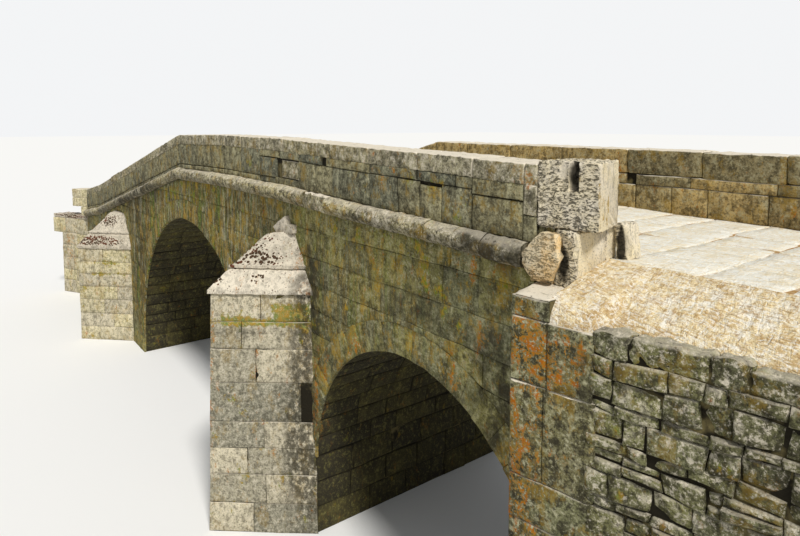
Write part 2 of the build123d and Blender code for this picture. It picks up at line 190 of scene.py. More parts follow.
def ripple(points, size, seed):
    """Smooth noise of about -1 to 1: a mean of sine waves in random directions, size metres long."""
    rng = np.random.default_rng(seed)
    total = np.zeros(points.shape[:-1])
    for _ in range(8):
        heading = rng.normal(size=3)
        heading /= np.linalg.norm(heading)
        pace = 2 * math.pi / size * rng.uniform(0.7, 1.5)
        total += np.sin(points @ heading * pace + rng.uniform(0, 2 * math.pi))
    return total / 4


# Soft patches of each layer: centre, then radii along each axis, then strength
PATCHES = {
    "orange": (
        (1.12, -2.25, 2.25, 0.13, 0.3, 0.6, 1.0), (1.4, -2.25, 3.1, 0.25, 0.3, 0.3, 0.7),
        (2.3, -2.25, 3.62, 0.35, 0.3, 0.25, 0.9), (4.35, -2.25, 3.9, 0.13, 0.3, 0.35, 0.9),
        (4.9, -2.25, 4.4, 0.35, 0.3, 0.16, 0.8), (4.68, -2.25, 5.2, 0.13, 0.3, 0.35, 0.9),
        (5.12, -2.25, 5.25, 0.12, 0.3, 0.3, 0.6), (0.9, -2.25, 5.2, 0.4, 0.3, 0.25, 0.5),
        (-0.1, -3.57, 2.6, 0.1, 0.13, 1.3, 0.9), (0.72, -2.3, 4.5, 0.12, 0.2, 0.4, 0.8),
        (0.4, -2.96, 2.8, 0.05, 0.06, 0.3, 0.9), (0.44, -2.32, 4.62, 0.08, 0.1, 0.06, 0.8),
        (0.92, -2.34, 4.16, 0.12, 0.14, 0.16, 1.1), (5.86, -2.72, 2.9, 0.26, 0.25, 2.2, 0.95),
        (6.05, -2.68, 4.7, 0.5, 0.25, 0.34, 0.65), (6.3, -2.65, 4.75, 0.2, 0.2, 0.3, 0.3),
        (6.3, -2.19, 6.05, 0.03, 0.04, 0.22, 1.0), (5.53, -2.26, 6.27, 0.09, 0.1, 0.12, 1.2),
        (5.86, -2.2, 5.66, 0.12, 0.15, 0.1, 0.7), (-18.0, -2.8, 1.7, 0.5, 0.5, 0.9, 0.7),
        (3.9, 1.72, 6.1, 0.35, 0.2, 0.25, 0.7), (6.3, 1.72, 5.7, 1.6, 0.2, 0.2, 0.3),
    ),
    "green": (
        (-4.2, -2.25, 5.3, 1.3, 0.3, 0.3, 0.5), (-6.3, -2.25, 5.0, 1.2, 0.3, 0.4, 0.5),
        (0.3, -3.0, 3.57, 0.7, 0.7, 0.05, 1.5), (0.85, -2.42, 3.62, 0.25, 0.3, 0.3, 1.0),
        (2.4, -2.25, 5.2, 1.2, 0.3, 0.3, 0.4), (4.2, -2.25, 5.0, 0.8, 0.3, 0.4, 0.4),
        (4.3, -2.25, 5.72, 1.0, 0.2, 0.1, 0.5), (-11.2, -2.8, 2.48, 0.9, 0.6, 0.06, 1.3),
        (-11.2, -2.8, 2.12, 0.9, 0.6, 0.05, 1.2), (0.7, -2.6, 3.8, 0.3, 0.35, 0.22, 1.0),
    ),
    # Dark patches. Some are painted shade: beside the near cutwater's right side, on the roll's end under the end
    # block, in the picked block's deep channel and on the guard stone's near face. The others darken the stone.
    "dark": (
        (1.0, -2.25, 4.1, 0.3, 0.4, 0.9, 1.3), (1.0, -2.3, 1.2, 0.35, 0.4, 1.1, 1.0),
        (3.6, -2.25, 4.5, 0.6, 0.3, 0.3, 0.8), (5.2, -2.25, 3.8, 0.5, 0.4, 1.0, 0.9),
        (5.2, -2.3, 5.4, 0.35, 0.3, 0.2, 0.8), (-9.4, -2.25, 3.0, 0.9, 0.4, 2.2, 0.7),
        (5.0, -2.4, 5.55, 0.5, 0.25, 0.14, 1.3), (6.5, -2.6, 4.6, 0.1, 0.2, 0.4, 0.8),
        (-1.6, -2.25, 3.6, 0.9, 0.3, 0.8, 0.4), (-8.0, -2.4, 5.0, 1.6, 0.2, 0.35, 0.9),
        (-11.0, -2.4, 4.4, 1.8, 0.2, 0.35, 0.9), (6.015, -2.17, 6.32, 0.06, 0.1, 0.16, 2.5),
        (6.19, -1.68, 5.62, 0.06, 0.035, 0.25, 2.5), (5.93, -2.25, 5.45, 0.07, 0.08, 0.2, 1.6),
        (0.9, -2.45, 2.9, 0.16, 0.25, 0.5, 0.9), (0.85, -2.5, 1.6, 0.2, 0.3, 1.0, 0.7),
        (0.25, -3.1, 3.42, 0.6, 0.6, 0.08, 0.8),
    ),
    "lichen": (
        (-0.06, -2.95, 4.6, 0.13, 0.2, 0.12, 1.2), (0.09, -2.78, 4.57, 0.17, 0.2, 0.1, 1.5),
        (0.3, -2.6, 4.56, 0.17, 0.2, 0.09, 1.2), (-0.05, -2.78, 4.73, 0.12, 0.16, 0.1, 1.1),
        (0.03, -2.5, 4.86, 0.16, 0.14, 0.06, 1.3), (-0.07, -3.4, 4.25, 0.1, 0.14, 0.08, 1.1),
        (-0.05, -3.15, 4.48, 0.08, 0.1, 0.08, 1.2), (0.31, -2.88, 4.28, 0.15, 0.17, 0.06, 1.2),
        (-11.35, -2.7, 3.75, 0.5, 0.35, 0.17, 1.3), (-11.3, -3.1, 3.2, 0.5, 0.45, 0.11, 1.6),
        (-10.95, -2.75, 3.13, 0.3, 0.3, 0.09, 1.6), (-11.6, -3.35, 3.12, 0.3, 0.3, 0.1, 1.4),
        (-17.9, -2.7, 3.15, 1.0, 0.6, 0.08, 1.7),
    ),
    "streaked": (
        (-5.1, -2.25, 4.8, 4.6, 0.4, 2.4, 1.2), (2.6, -2.25, 4.3, 1.8, 0.4, 1.2, 0.35),
        (-5.1, 2.25, 4.8, 4.6, 0.4, 2.4, 1.1), (3.0, 2.25, 4.5, 2.4, 0.4, 1.5, 0.7),
        (-9.5, -2.25, 3.0, 1.2, 0.4, 2.6, 1.0),
    ),
    "smooth": (
        (5.895, -2.24, 6.36, 0.05, 0.1, 0.1, 1.0),
    ),
}


def soft_patches(points, places):
    """Sum over the patches of e to the minus squared distance, measured in each patch's own radii."""
    places = np.array(places)
    away = (points[:, None] - places[None, :, :3]) / places[None, :, 3:6]
    return (places[:, 6] * np.exp(-(away ** 2).sum(-1))).sum(-1)


def xyz(x, y, z):
    """Points from coordinates that are arrays or single numbers."""
    return np.stack(np.broadcast_arrays(x, y, z), axis=-1)


def pairs(values):
    """Each value with the one after it."""
    return zip(values, values[1:])


def blend(corner, u, v):
    """Bilinear mean of four corners."""
    return (corner[0] * (1 - u) * (1 - v) + corner[1] * u * (1 - v) + corner[2] * u * v + corner[3] * (1 - u) * v)


class Stones:
    """Gathers the surfaces of one piece, and writes them as one mesh."""

    def __init__(self, seed):
        self.seed = seed
        self.rng = np.random.default_rng(seed)
        self.parts = []
        self.count = 0

    def keep(self, points, pattern, ends, rim, tone=(0, 1)):
        """Keeps points[stone, point], with one pattern of faces, end faces and rim for all the stones."""
        n, each = points.shape[:2]
        first = self.count + each * np.arange(n)[:, None]
        quads = (pattern[None] + first[:, :, None]).reshape(-1, 4)
        caps = np.concatenate([end[None] + first for end in ends])
        tones = np.repeat(self.rng.uniform(*tone, n), each)
        self.parts.append((points.reshape(-1, 3), quads, caps, tones, np.tile(rim, n)))
        self.count += n * each

    def panels(self, cells, place, joint, arris, proud=0.03, sink=0.02, lift=0.004, tilt=0.005,
               bulge=0.004, rough=0.004, wobble=0.006, chip=0.006, grid=(5, 4), warp=0.0, warp_size=1.4):
        """Stones over a surface. Each cell is a quad in (s, t), and place turns s, t and a height into a point.

        A stone's point is the bilinear mean of its cell's corners. Its height is the stone's own
        height and tilt, plus a bulge that is a product of two parabolas, plus noise; the outermost
        ring of the grid drops by the worn arris. A skirt goes from that ring back into the wall.
        """
        def noise(points, size, number):
            return ripple(points, size, self.seed + number)

        cells = np.asarray(cells, float)
        n = len(cells)
        if warp:
            level = np.concatenate([cells, 0 * cells[..., :1]], axis=-1)
            cells = cells + warp * np.stack([noise(level, warp_size, k) for k in (21, 22)], axis=-1)
        corner = np.moveaxis(cells, 1, 0)
        fractions = []
        for inner, turn in zip(grid, (corner, corner[[0, 3, 2, 1]])):
            span = (np.linalg.norm(turn[1] - turn[0], axis=1) + np.linalg.norm(turn[2] - turn[3], axis=1)) / 2
            edge = np.clip(joint / 2 / span, 0, 0.2)[:, None]
            start = np.clip((joint / 2 + arris) / span, 0, 0.4)[:, None]
            middle = start + (1 - 2 * start) * np.linspace(0, 1, inner)[None]
            fractions.append(np.concatenate([edge, middle, 1 - edge], axis=1))
        u, v = fractions[0][:, None, :], fractions[1][:, :, None]
        flat = blend(corner[..., None, None], u[:, None], v[:, None])
        s, t = flat[:, 0], flat[:, 1]
        base = place(s, t, np.zeros_like(s))
        s = s + wobble * noise(base, 0.9, 1)
        t = t + wobble * noise(base, 1.1, 2)
        spread = self.rng.normal(size=(3, n, 1, 1))
        raised = proud + lift * np.clip(spread[0], -2, 2) + tilt * (spread[1] * (u - 0.5) + spread[2] * (v - 0.5))
        raised = raised + bulge * (1 - (2 * u - 1) ** 2) * (1 - (2 * v - 1) ** 2)
        raised = raised + rough * noise(base, 0.16, 3) + rough * noise(base, 0.4, 4)
        rows, columns = s.shape[1:]
        inside = np.zeros((rows, columns), bool)
        inside[1:-1, 1:-1] = True
        worn = 0.7 * arris + chip * np.clip(noise(base, 0.22, 5), 0, 1)
        front = place(s, t, np.where(inside[None], raised, raised - worn))
        index = np.arange(rows * columns).reshape(rows, columns)
        ring = np.concatenate([index[0, :-1], index[:-1, -1], index[-1, :0:-1], index[:0:-1, 0]])
        ring_s, ring_t = s.reshape(n, -1)[:, ring], t.reshape(n, -1)[:, ring]
        back = place(ring_s, ring_t, np.full_like(ring_s, -sink))
        face = np.stack([index[:-1, :-1], index[:-1, 1:], index[1:, 1:], index[1:, :-1]], axis=-1).reshape(-1, 4)
        behind = rows * columns + np.arange(len(ring))
        skirt = np.stack([behind, np.roll(behind, -1), np.roll(ring, -1), ring], axis=-1)
        self.keep(np.concatenate([front.reshape(n, -1, 3), back], axis=1), np.concatenate([face, skirt]),
                  [behind[::-1]], np.concatenate([inside.ravel().astype(float), np.zeros(len(ring))]))

    def bars(self, sections, rough, size=0.2, flip=False, tone=(0, 1), ends=1.0):
        """Closed bars: sections[stone, station, point] is a closed outline carried along a path."""
        sections = np.asarray(sections, float)
        n, stations, around = sections.shape[:3]
        shift = np.stack([ripple(sections, size, self.seed + k) for k in (6, 7, 8)], axis=-1)
        index = np.arange(stations * around).reshape(stations, around)
        beside = np.roll(index, -1, axis=1)
        pattern = np.stack([index[:-1], beside[:-1], beside[1:], index[1:]], axis=-1).reshape(-1, 4)
        caps = [index[0][::-1], index[-1]]
        if flip:
            pattern, caps = pattern[:, ::-1], [cap[::-1] for cap in caps]
        rim = np.ones((stations, around))
        rim[[0, -1]] = ends
        self.keep((sections + rough * shift).reshape(n, -1, 3), pattern, caps, rim.ravel(), tone)

    def blocks(self, corners, arris, steps, sides, carve=None, **look):
        """Whole stones from eight corners each: four round the start face, then four round the end face.

        A point is the trilinear mean of the corners. The outline has its corners cut by the worn
        arris, and the first and last stations are drawn in by as much.
        """
        corners = np.moveaxis(np.asarray(corners, float).reshape(-1, 8, 3), 1, 0)
        edges = (corners[4:].mean(0) - corners[:4].mean(0), corners[1] - corners[0], corners[3] - corners[0])
        ra, rb, rc = (np.clip(arris / np.linalg.norm(edge, axis=1), 0, 0.3)[:, None] for edge in edges)
        inner = np.linspace(0, 1, sides + 2)[1:-1][None]
        run_b, run_c = (np.concatenate([r, r + (1 - 2 * r) * inner, 1 - r], axis=1) for r in (rb, rc))
        zero = np.zeros_like(run_b)
        b = [0.3 * rb, run_b, 1 - 0.3 * rb, zero + 1, 1 - 0.3 * rb, run_b[:, ::-1], 0.3 * rb, zero]
        c = [0.3 * rc, zero, 0.3 * rc, run_c, 1 - 0.3 * rc, zero + 1, 1 - 0.3 * rc, run_c[:, ::-1]]
        one = np.ones_like(ra)
        middle = ra + (1 - 2 * ra) * np.linspace(0, 1, steps)[None, 1:-1]
        a = np.concatenate([0 * one, ra, middle, 1 - ra, one], axis=1)
        drawn = np.zeros_like(a)[:, :, None]
        drawn[:, [0, -1]] = 1.2
        b, c = ((0.5 + (np.concatenate(x, axis=1)[:, None] - 0.5) * (1 - r[:, None] * drawn))[..., None]
                for x, r in ((b, rb), (c, rc)))
        corners, a = corners[:, :, None, None], a[:, :, None, None]
        sections = blend(corners[:4], b, c) * (1 - a) + blend(corners[4:], b, c) * a
        self.bars(carve(sections) if carve else sections, **look)

    def write(self, name, finish, slot, *replaced):
        """Puts the gathered points, four-sided faces and many-sided end faces into one mesh piece."""
        points, quads, caps, tone, rim = zip(*self.parts)
        points, quads = np.concatenate(points), np.concatenate(quads)
        loops = np.concatenate([quads.ravel(), *(cap.ravel() for cap in caps)]).astype(np.int32)
        counts = np.concatenate([np.full(len(quads), 4), *(np.full(len(cap), cap.shape[1]) for cap in caps)])
        starts = np.concatenate([[0], np.cumsum(counts)[:-1]]).astype(np.int32)
        mesh = bpy.data.meshes.new(name)
        mesh.vertices.add(len(points))
        mesh.vertices.foreach_set("co", points.astype(np.float32).ravel())
        mesh.loops.add(len(loops))
        mesh.loops.foreach_set("vertex_index", loops)
        mesh.polygons.add(len(starts))
        mesh.polygons.foreach_set("loop_start", starts)
        mesh.polygons.foreach_set("use_smooth", np.ones(len(starts), bool))
        mesh.update(calc_edges=True)
        if mesh.validate():
            raise RuntimeError(name + " has faces that Blender had to mend")
        layers = {"tone": np.concatenate(tone), "rim": np.concatenate(rim)}
        layers.update({label: soft_patches(points, places) for label, places in PATCHES.items()})
        for label, values in layers.items():
            mesh.attributes.new(label, "FLOAT", "POINT").data.foreach_set("value", values.astype(np.float32))
        mesh.set_sharp_from_angle(angle=SHARP)
        mesh.materials.append(finishes()[finish])
        piece = bpy.data.objects.new(name, mesh)
        bpy.context.scene.collection.objects.link(piece)
        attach(piece, "root")
        if replaced:
            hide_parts(*replaced)


def cuts(start, end, length, rng, loose=0.22):
    """Joint places from start to end: even steps near the length, each moved a little."""
    count = max(1, round((end - start) / length))
    places = np.linspace(start, end, count + 1)
    places[1:-1] += rng.uniform(-loose, loose, count - 1) * (end - start) / count
    return places


def boxes(low, high, places):
    """Cells of one course between two heights, with upright joints at the places."""
    return [[(a, low), (b, low), (b, high), (a, high)] for a, b in pairs(places)]


def courses(heights, start, end, length, rng):
    """Cells of several level courses over a plain rectangle."""
    found = []
    for low, high in pairs(heights):
        found += boxes(low, high, cuts(start, end, length * rng.uniform(0.85, 1.15), rng))
    return found


def wall_top(x):
    """Foot of the string course, where the side walls' stones end."""
    return float(near_crest(x)) - WALL_DROP


def clipped(cell, room=0.04):
    """Lowers a cell's upper corners to the wall's top, or gives nothing where the top runs under it."""
    (x0, z0), (x1, z1), (x2, z2), (x3, z3) = cell
    left, right = wall_top(x3) - z0 - room, wall_top(x2) - z1 - room
    if left <= 0 and right <= 0:
        return []
    if left < 0:
        x0 = x3 = x3 + (x2 - x3) * left / (left - right)
    if right < 0:
        x1 = x2 = x3 + (x2 - x3) * left / (left - right)
    return [[(x0, z0), (x1, z1), (x2, min(z2, wall_top(x2))), (x3, min(z3, wall_top(x3)))]]


def wall_cells(right, rng):
    """Cells of level courses round the arch rings, from the road's left end.

    A course that meets a ring's steep side ends there with a slanted stone. Where the ring is
    shallow its stones stand on the ring, and all of them stop under the wall's top.
    """
    found = []

    def between(feet, heads):
        found.extend([a, b, d, c] for (a, b), (c, d) in zip(pairs(feet), pairs(heads)))

    def region(start, end, low, high):
        first, last = max(start), min(end)
        if last - first >= SHORTEST:
            inner = cuts(first, last, sizes().wall_stone * rng.uniform(0.85, 1.15), rng)[1:-1]
            between(*([(x, z) for x in (a, *inner, b)] for a, b, z in zip(start, end, (low, high))))

    def arched(first, last, arch, low, high):
        last = min(last, right)
        if last - first >= SHORTEST:
            centre, spring, radius, depth = arch
            places = cuts(first, last, 0.5, rng, 0.1)
            under = spring + np.sqrt(np.maximum((radius + depth) ** 2 - (places - centre) ** 2, 0))
            between(list(zip(places, np.clip(under, low, high - 0.03))), [(x, high) for x in places])

    for low, high in pairs(WALL_HEIGHTS):
        start = (LEFT_END, LEFT_END)
        for arch in (LEFT_ARCH, RIGHT_ARCH):
            centre, spring, radius, depth = arch
            wide, narrow = (radius if z < spring else math.sqrt(max((radius + depth) ** 2 - (z - spring) ** 2, 0))
                            for z in (low + 0.002, high - 0.002))
            if wide == 0:
                continue
            steep = wide - narrow < 0.5
            upper = narrow if steep else wide
            region(start, (centre - wide, centre - upper), low, high)
            if not steep and narrow == 0:
                arched(centre - wide, centre + wide, arch, low, high)
            elif not steep:
                arched(centre - wide, centre - narrow, arch, low, high)
                arched(centre + narrow, centre + wide, arch, low, high)
            start = (centre + wide, centre + upper)
        region(start, (right, right), low, high)
    return [kept for cell in found for kept in clipped(cell)]


def turned(cells, side):
    """Cells given in (x, z), ready for a face on either side."""
    cells = np.asarray(cells, float)
    return cells if side < 0 else cells[:, [1, 0, 3, 2]] * np.array([-1.0, 1.0])


def leaning(*corners):
    """Place on a flat or gently twisted panel with four corners seen from outside, and its width and height."""
    k = [np.array(p, float) for p in corners]
    width = (np.linalg.norm(k[1] - k[0]) + np.linalg.norm(k[2] - k[3])) / 2
    height = (np.linalg.norm(k[3] - k[0]) + np.linalg.norm(k[2] - k[1])) / 2
    normal = np.cross(k[1] + k[2] - k[0] - k[3], k[3] + k[2] - k[0] - k[1])
    normal /= np.linalg.norm(normal)

    def place(s, t, h):
        return blend(k, (s / width)[..., None], (t / height)[..., None]) + h[..., None] * normal

    return place, width, height


def standing(start, stop, low, high):
    """Place on an upright panel over a line of the plan, and its width."""
    return leaning((*start, low), (*stop, low), (*stop, high), (*start, high))[:2]


class Stonework:
    """Writes the nodes of one stone finish. Its colour is what has been laid on so far."""

    def __init__(self, name):
        self.material = bpy.data.materials.new(name)
        self.material.use_nodes = True
        self.tree = self.material.node_tree
        self.tree.nodes.clear()
        self.object_space = self.add("ShaderNodeTexCoord").outputs["Object"]
        normal = self.add("ShaderNodeNewGeometry").outputs["Normal"]
        split = self.add("ShaderNodeSeparateXYZ")
        self.feed(split.inputs[0], normal)
        # Parts of the normal, which the finishes use for painted sunlight on tops, painted shade under things, and
        # to keep painted hollows off the ends of picked stones
        self.upward = split.outputs["Z"]
        self.endward = split.outputs["X"]
        self.colour = None

    def add(self, kind, **settings):
        made = self.tree.nodes.new(kind)
        for key, value in settings.items():
            setattr(made, key, value)
        return made

    def feed(self, socket, value):
        if isinstance(value, bpy.types.NodeSocket):
            self.tree.links.new(value, socket)
        elif socket.type == "RGBA":
            socket.default_value = (*value[:3], 1)
        else:
            socket.default_value = value

    def node(self, kind, output, inputs, **settings):
        """Adds a node, feeds the inputs that are given by name or number, and returns one output."""
        made = self.add(kind, **settings)
        for key, value in inputs.items():
            self.feed(made.inputs[key], value)
        return made.outputs[output]

    def layer(self, name):
        return self.add("ShaderNodeAttribute", attribute_name=name).outputs["Fac"]

    def mapped(self, size, stretch, shift, slope=0.0):
        """Object space in steps of size metres, drawn out along its axes and turned about the Y axis."""
        return self.node("ShaderNodeMapping", "Vector", {
            "Rotation": (0, slope, 0), "Vector": self.object_space, "Scale": [1 / (size * s) for s in stretch],
            "Location": (shift, 1.7 * shift, -0.6 * shift)})

    def noise(self, size, detail, roughness, stretch=(1, 1, 1), shift=0.0, bend=0.0, slope=0.0):
        made = self.add("ShaderNodeTexNoise")
        self.feed(made.inputs["Vector"], self.mapped(size, stretch, shift, slope))
        for key, value in (("Scale", 1), ("Detail", detail), ("Roughness", roughness), ("Distortion", bend)):
            made.inputs[key].default_value = value
        return made.outputs["Fac"]

    def cells(self, size, shift):
        """Distance to the nearest of scattered points."""
        made = self.add("ShaderNodeTexVoronoi")
        self.feed(made.inputs["Vector"], self.mapped(size, (1, 1, 1), shift))
        made.inputs["Scale"].default_value = 1
        return made.outputs["Distance"]

    def mask(self, value, low, high, strength=1.0):
        return self.node("ShaderNodeMapRange", "Result", {
            "Value": value, "From Min": low, "From Max": high, "To Max": strength}, interpolation_type="SMOOTHSTEP")

    def sum(self, operation, first, second):
        return self.node("ShaderNodeMath", 0, {0: first, 1: second}, operation=operation)

    def both(self, first, second):
        return self.sum("MULTIPLY", first, second)

    def near(self, label, strength, *noise):
        """A noise that is raised where a layer of the mesh is strong."""
        return self.sum("ADD", self.noise(*noise), self.both(self.layer(label), strength))

    def mix(self, share, first, second):
        """Of the node's many sockets, inputs 6 and 7 and output 2 are the ones for colours."""
        return self.node("ShaderNodeMix", 2, {0: share, 6: first, 7: second}, data_type="RGBA")

    def lay(self, colour, share):
        """Lays a colour over the one so far."""
        self.colour = self.mix(share, self.colour, colour)

    def stain(self, colour, value, low, high, strength=1.0):
        """Lays a colour where a value goes from low to high."""
        self.lay(colour, self.mask(value, low, high, strength))

    def ramp(self, value, stops):
        """Colours set out along a value: each stop is a place and a colour."""
        made = self.add("ShaderNodeValToRGB")
        self.feed(made.inputs[0], value)
        elements = made.color_ramp.elements
        while len(elements) < len(stops):
            elements.new(0.5)
        for element, (place, colour) in zip(elements, stops):
            element.position = place
            element.color = (*colour[:3], 1)
        return made.outputs["Color"]

    def close(self, relief, depth, roughness=0.92):
        """Joins colour and relief to a dull surface."""
        bump = self.node("ShaderNodeBump", "Normal", {"Strength": 1, "Distance": depth, "Height": relief})
        shader = self.node("ShaderNodeBsdfPrincipled", "BSDF", {
            "Base Color": self.colour, "Roughness": roughness, "Specular IOR Level": 0.2, "Normal": bump})
        self.feed(self.add("ShaderNodeOutputMaterial").inputs["Surface"], shader)


def stone_finish(name, base, other, light=None, dirt=0.5, pale=0.35, speck=0.5, runs=0.0, drips=0.0, ochre=0.0,
                 rust=0.3, moss=0.3, spots=0.0, top=0.0, under=0.0, seam=None, depth=0.012, rim=0.6, cloud=0.17,
                 seed=0.0):
    """One weathered stone finish.

    Stones differ by their tone. Over that lie broad dirt, mottling in clouds of the given size,
    coloured runs drawn out downwards, short drips, dark and pale grit, yellow and orange lichen,
    moss, clustered dark spots and dark edges. Tops are laid pale, partly as bleaching and partly as
    painted sunlight, and undersides are darkened as painted shade. The numbers say how much of each
    there is. The orange, green, dark, lichen and streaked layers of the mesh say where some of them
    gather; some of the dark layer's patches are painted shade.
    """
    c = colours()
    w = Stonework(name)
    light = light or c.bleached_and_sunlit
    broad = w.noise(0.9, 4, 0.55, shift=seed)
    mottle = w.noise(cloud, 6, 0.7, (1, 1, 1.3), seed + 2)
    grit = w.noise(0.075, 5, 0.75, (1.3, 1, 1.2), seed + 20)
    grain = w.noise(0.03, 4, 0.7, shift=seed + 4)
    fine = w.noise(0.011, 2, 0.6, shift=seed + 5)
    w.colour = w.mix(w.mask(w.layer("tone"), 0.1, 0.9), base, other)
    w.stain(c.crust_and_shade, broad, 0.42, 0.62, 0.5 * dirt)
    w.stain(light, mottle, 0.47, 0.36, pale)
    w.stain(c.crust_and_shade, mottle, 0.5, 0.61, 0.75 * dirt)
    if drips:
        short = w.noise(1.0, 5, 0.7, (0.1, 0.08, 0.42), seed + 22, 0.1)
        w.stain(c.crust_and_shade, short, 0.49, 0.58, 0.8 * drips)
        w.stain(light, short, 0.46, 0.37, 0.55 * drips)
    if runs:
        column = w.noise(1.0, 4, 0.6, (0.42, 0.42, 4.5), seed + 6, 0.1)
        thin = w.noise(1.0, 4, 0.6, (0.13, 0.13, 2.4), seed + 8, 0.1)
        tinted = w.ramp(w.sum("ADD", w.both(column, 0.75), w.both(thin, 0.25)), (
            (0.36, c.chalk), (0.4, c.parapet_other), (0.43, c.ochre), (0.455, c.joint), (0.475, c.moss),
            (0.495, c.coping), (0.515, c.joint), (0.535, c.ochre), (0.56, c.crust_and_shade), (0.6, c.moss)))
        w.lay(tinted, w.both(w.mask(w.layer("streaked"), 0.0, 0.9, runs), w.mask(mottle, 0.85, 0.35)))
    w.stain(c.crust_and_shade, grit, 0.5, 0.58, 0.8 * speck)
    w.stain(light, grit, 0.46, 0.37, 0.75 * speck)
    w.stain(c.crust_and_shade, grain, 0.52, 0.64, 0.75 * speck)
    w.stain(light, grain, 0.46, 0.34, 0.6 * speck)
    if ochre:
        patchy = w.noise(0.3, 7, 0.74, (1, 1, 1.7), seed + 11)
        w.lay(c.ochre, w.both(w.mask(patchy, 0.52, 0.6, ochre), w.mask(grain, 0.38, 0.5)))
    near = w.near("orange", 0.16, 0.16, 8, 0.78, (1, 1, 2.2), seed + 13)
    warm = w.mix(w.mask(grit, 0.4, 0.6), c.rust, c.ochre)
    broken = w.both(w.mask(grain, 0.42, 0.5), w.mask(grit, 0.57, 0.48))
    w.lay(warm, w.both(w.mask(near, 0.58, 0.66, min(1.0, 3 * rust)), broken))
    near = w.near("green", 0.17, 0.24, 8, 0.72, (1, 1, 1.4), seed + 17)
    green = w.mix(w.mask(grit, 0.4, 0.6), c.moss, c.ochre)
    w.lay(green, w.both(w.mask(near, 0.59, 0.67, min(1.0, 2.5 * moss)), w.mask(grain, 0.3, 0.42)))
    # Dark patches of the mesh, some of them painted shade, laid in the dark crust colour
    w.lay(c.crust_and_shade, w.both(w.mask(w.layer("dark"), 0.0, 1.0, 0.8), w.mask(mottle, 0.36, 0.54)))
    # Painted shade: faces turned downwards are darkened
    if under:
        w.stain(c.crust_and_shade, w.upward, 0.35, -0.45, under)
    # Partly bleaching, partly painted sunlight: upward faces are laid pale
    if top:
        worn = w.both(w.mask(w.upward, 0.35, 0.8, top), w.mask(grit, 0.7, 0.57))
        w.lay(c.bleached_and_sunlit, w.both(worn, w.mask(mottle, 0.72, 0.6)))
    if spots:
        ragged = w.sum("ADD", w.cells(0.055, seed), w.both(w.noise(0.02, 3, 0.6), 0.5))
        gathered = w.sum("SUBTRACT", ragged, w.mask(w.layer("lichen"), 0.0, 1.1, 0.4))
        brown = w.mix(w.mask(w.noise(0.35, 3, 0.6, shift=seed), 0.46, 0.54), c.spot, c.red_spot)
        w.stain(w.mix(w.mask(fine, 0.3, 0.7), brown, c.crust_and_shade), gathered, 0.44, 0.37, spots)
    w.lay(seam or c.joint, w.both(w.mask(w.layer("rim"), 0.9, 0.0, rim), w.mask(broad, 0.35, 0.6)))
    relief = w.sum("ADD", w.both(grain, 0.9), w.both(fine, 0.35))
    relief = w.sum("ADD", relief, w.both(grit, 1.1))
    pits = w.mask(w.cells(0.045, seed + 2), 0.32, 0.1, 0.3)
    w.close(w.sum("SUBTRACT", relief, pits), depth)


def picked_finish(name, base, other, seed, ridge_highlight=0.5, hollow_shade=0.8):
    """Rough picked face in pale stone: short slanting cuts, with painted highlight on the ridges between them and
    painted shade in their hollows.
    """
    c = colours()
    w = Stonework(name)
    grain = w.noise(0.02, 4, 0.7, shift=seed)
    cut = w.noise(1.0, 3, 0.65, (0.055, 0.05, 0.019), seed + 3, 0.9, 0.3)
    broken = w.noise(0.045, 3, 0.6, shift=seed + 6)
    # Faces turned along +X get none of the hollows' painted shade
    side = w.mask(w.endward, 0.75, 0.35)
    plain = w.mask(w.layer("smooth"), 0.6, 0.2)
    hollow = w.both(w.both(w.mask(cut, 0.49, 0.435), side), w.both(w.mask(broken, 0.34, 0.5), plain))
    w.colour = w.mix(w.mask(w.noise(0.3, 5, 0.65, shift=seed), 0.42, 0.6, 0.8), base, other)
    w.stain(c.crust_and_shade, grain, 0.52, 0.64, 0.5)
    # Painted highlight: the ridges of the cuts are laid pale
    w.stain(c.bleached_and_sunlit, cut, 0.52, 0.6, ridge_highlight)
    # Painted shade: the hollows of the cuts are laid dark
    w.lay(c.crust_and_shade, w.both(hollow, hollow_shade))
    w.stain(c.ochre, w.near("orange", 0.2, 0.12, 8, 0.78, (1, 1, 2), seed + 13), 0.62, 0.68, 0.9)
    upright = w.noise(1.0, 4, 0.7, (0.05, 0.05, 0.25), seed + 17)
    w.lay(c.crust_and_shade, w.both(w.mask(upright, 0.54, 0.62, 0.35), w.mask(w.endward, 0.35, 0.75)))
    # Dark patches of the mesh in the joint colour: painted shade in the deep channel and on the guard stone's near
    # face, and other dark places
    w.stain(c.joint, w.layer("dark"), 0.3, 1.2, 0.95)
    w.close(w.sum("SUBTRACT", w.both(grain, 0.3), hollow), 0.03)


def matted_finish(name, base, light, dark, seed):
    """Dry earth with straw and small stones: strokes that lie three ways, in three tones, over bare patches."""
    w = Stonework(name)
    broad = w.noise(0.45, 6, 0.7, shift=seed)
    patch = w.noise(0.12, 5, 0.7, shift=seed + 2)
    grain = w.noise(0.025, 4, 0.7, shift=seed + 1)
    w.colour = w.mix(w.mask(broad, 0.5, 0.6, 0.5), base, dark)
    w.stain(light, broad, 0.47, 0.38, 0.6)
    w.stain(dark, patch, 0.55, 0.62, 0.45)
    strokes = [w.noise(1.0, 3, 0.6, stretch, seed + 3 + k, 1.2)
               for k, stretch in enumerate(((0.16, 0.02, 0.05), (0.03, 0.12, 0.05), (0.07, 0.035, 0.03)))]
    for stroke in strokes:
        w.stain(dark, stroke, 0.56, 0.62, 0.5)
        w.stain(light, stroke, 0.46, 0.38, 0.6)
    w.stain(dark, grain, 0.58, 0.66, 0.5)
    w.close(w.sum("ADD", w.sum("ADD", strokes[0], strokes[1]), w.both(patch, 1.5)), 0.02, 0.97)


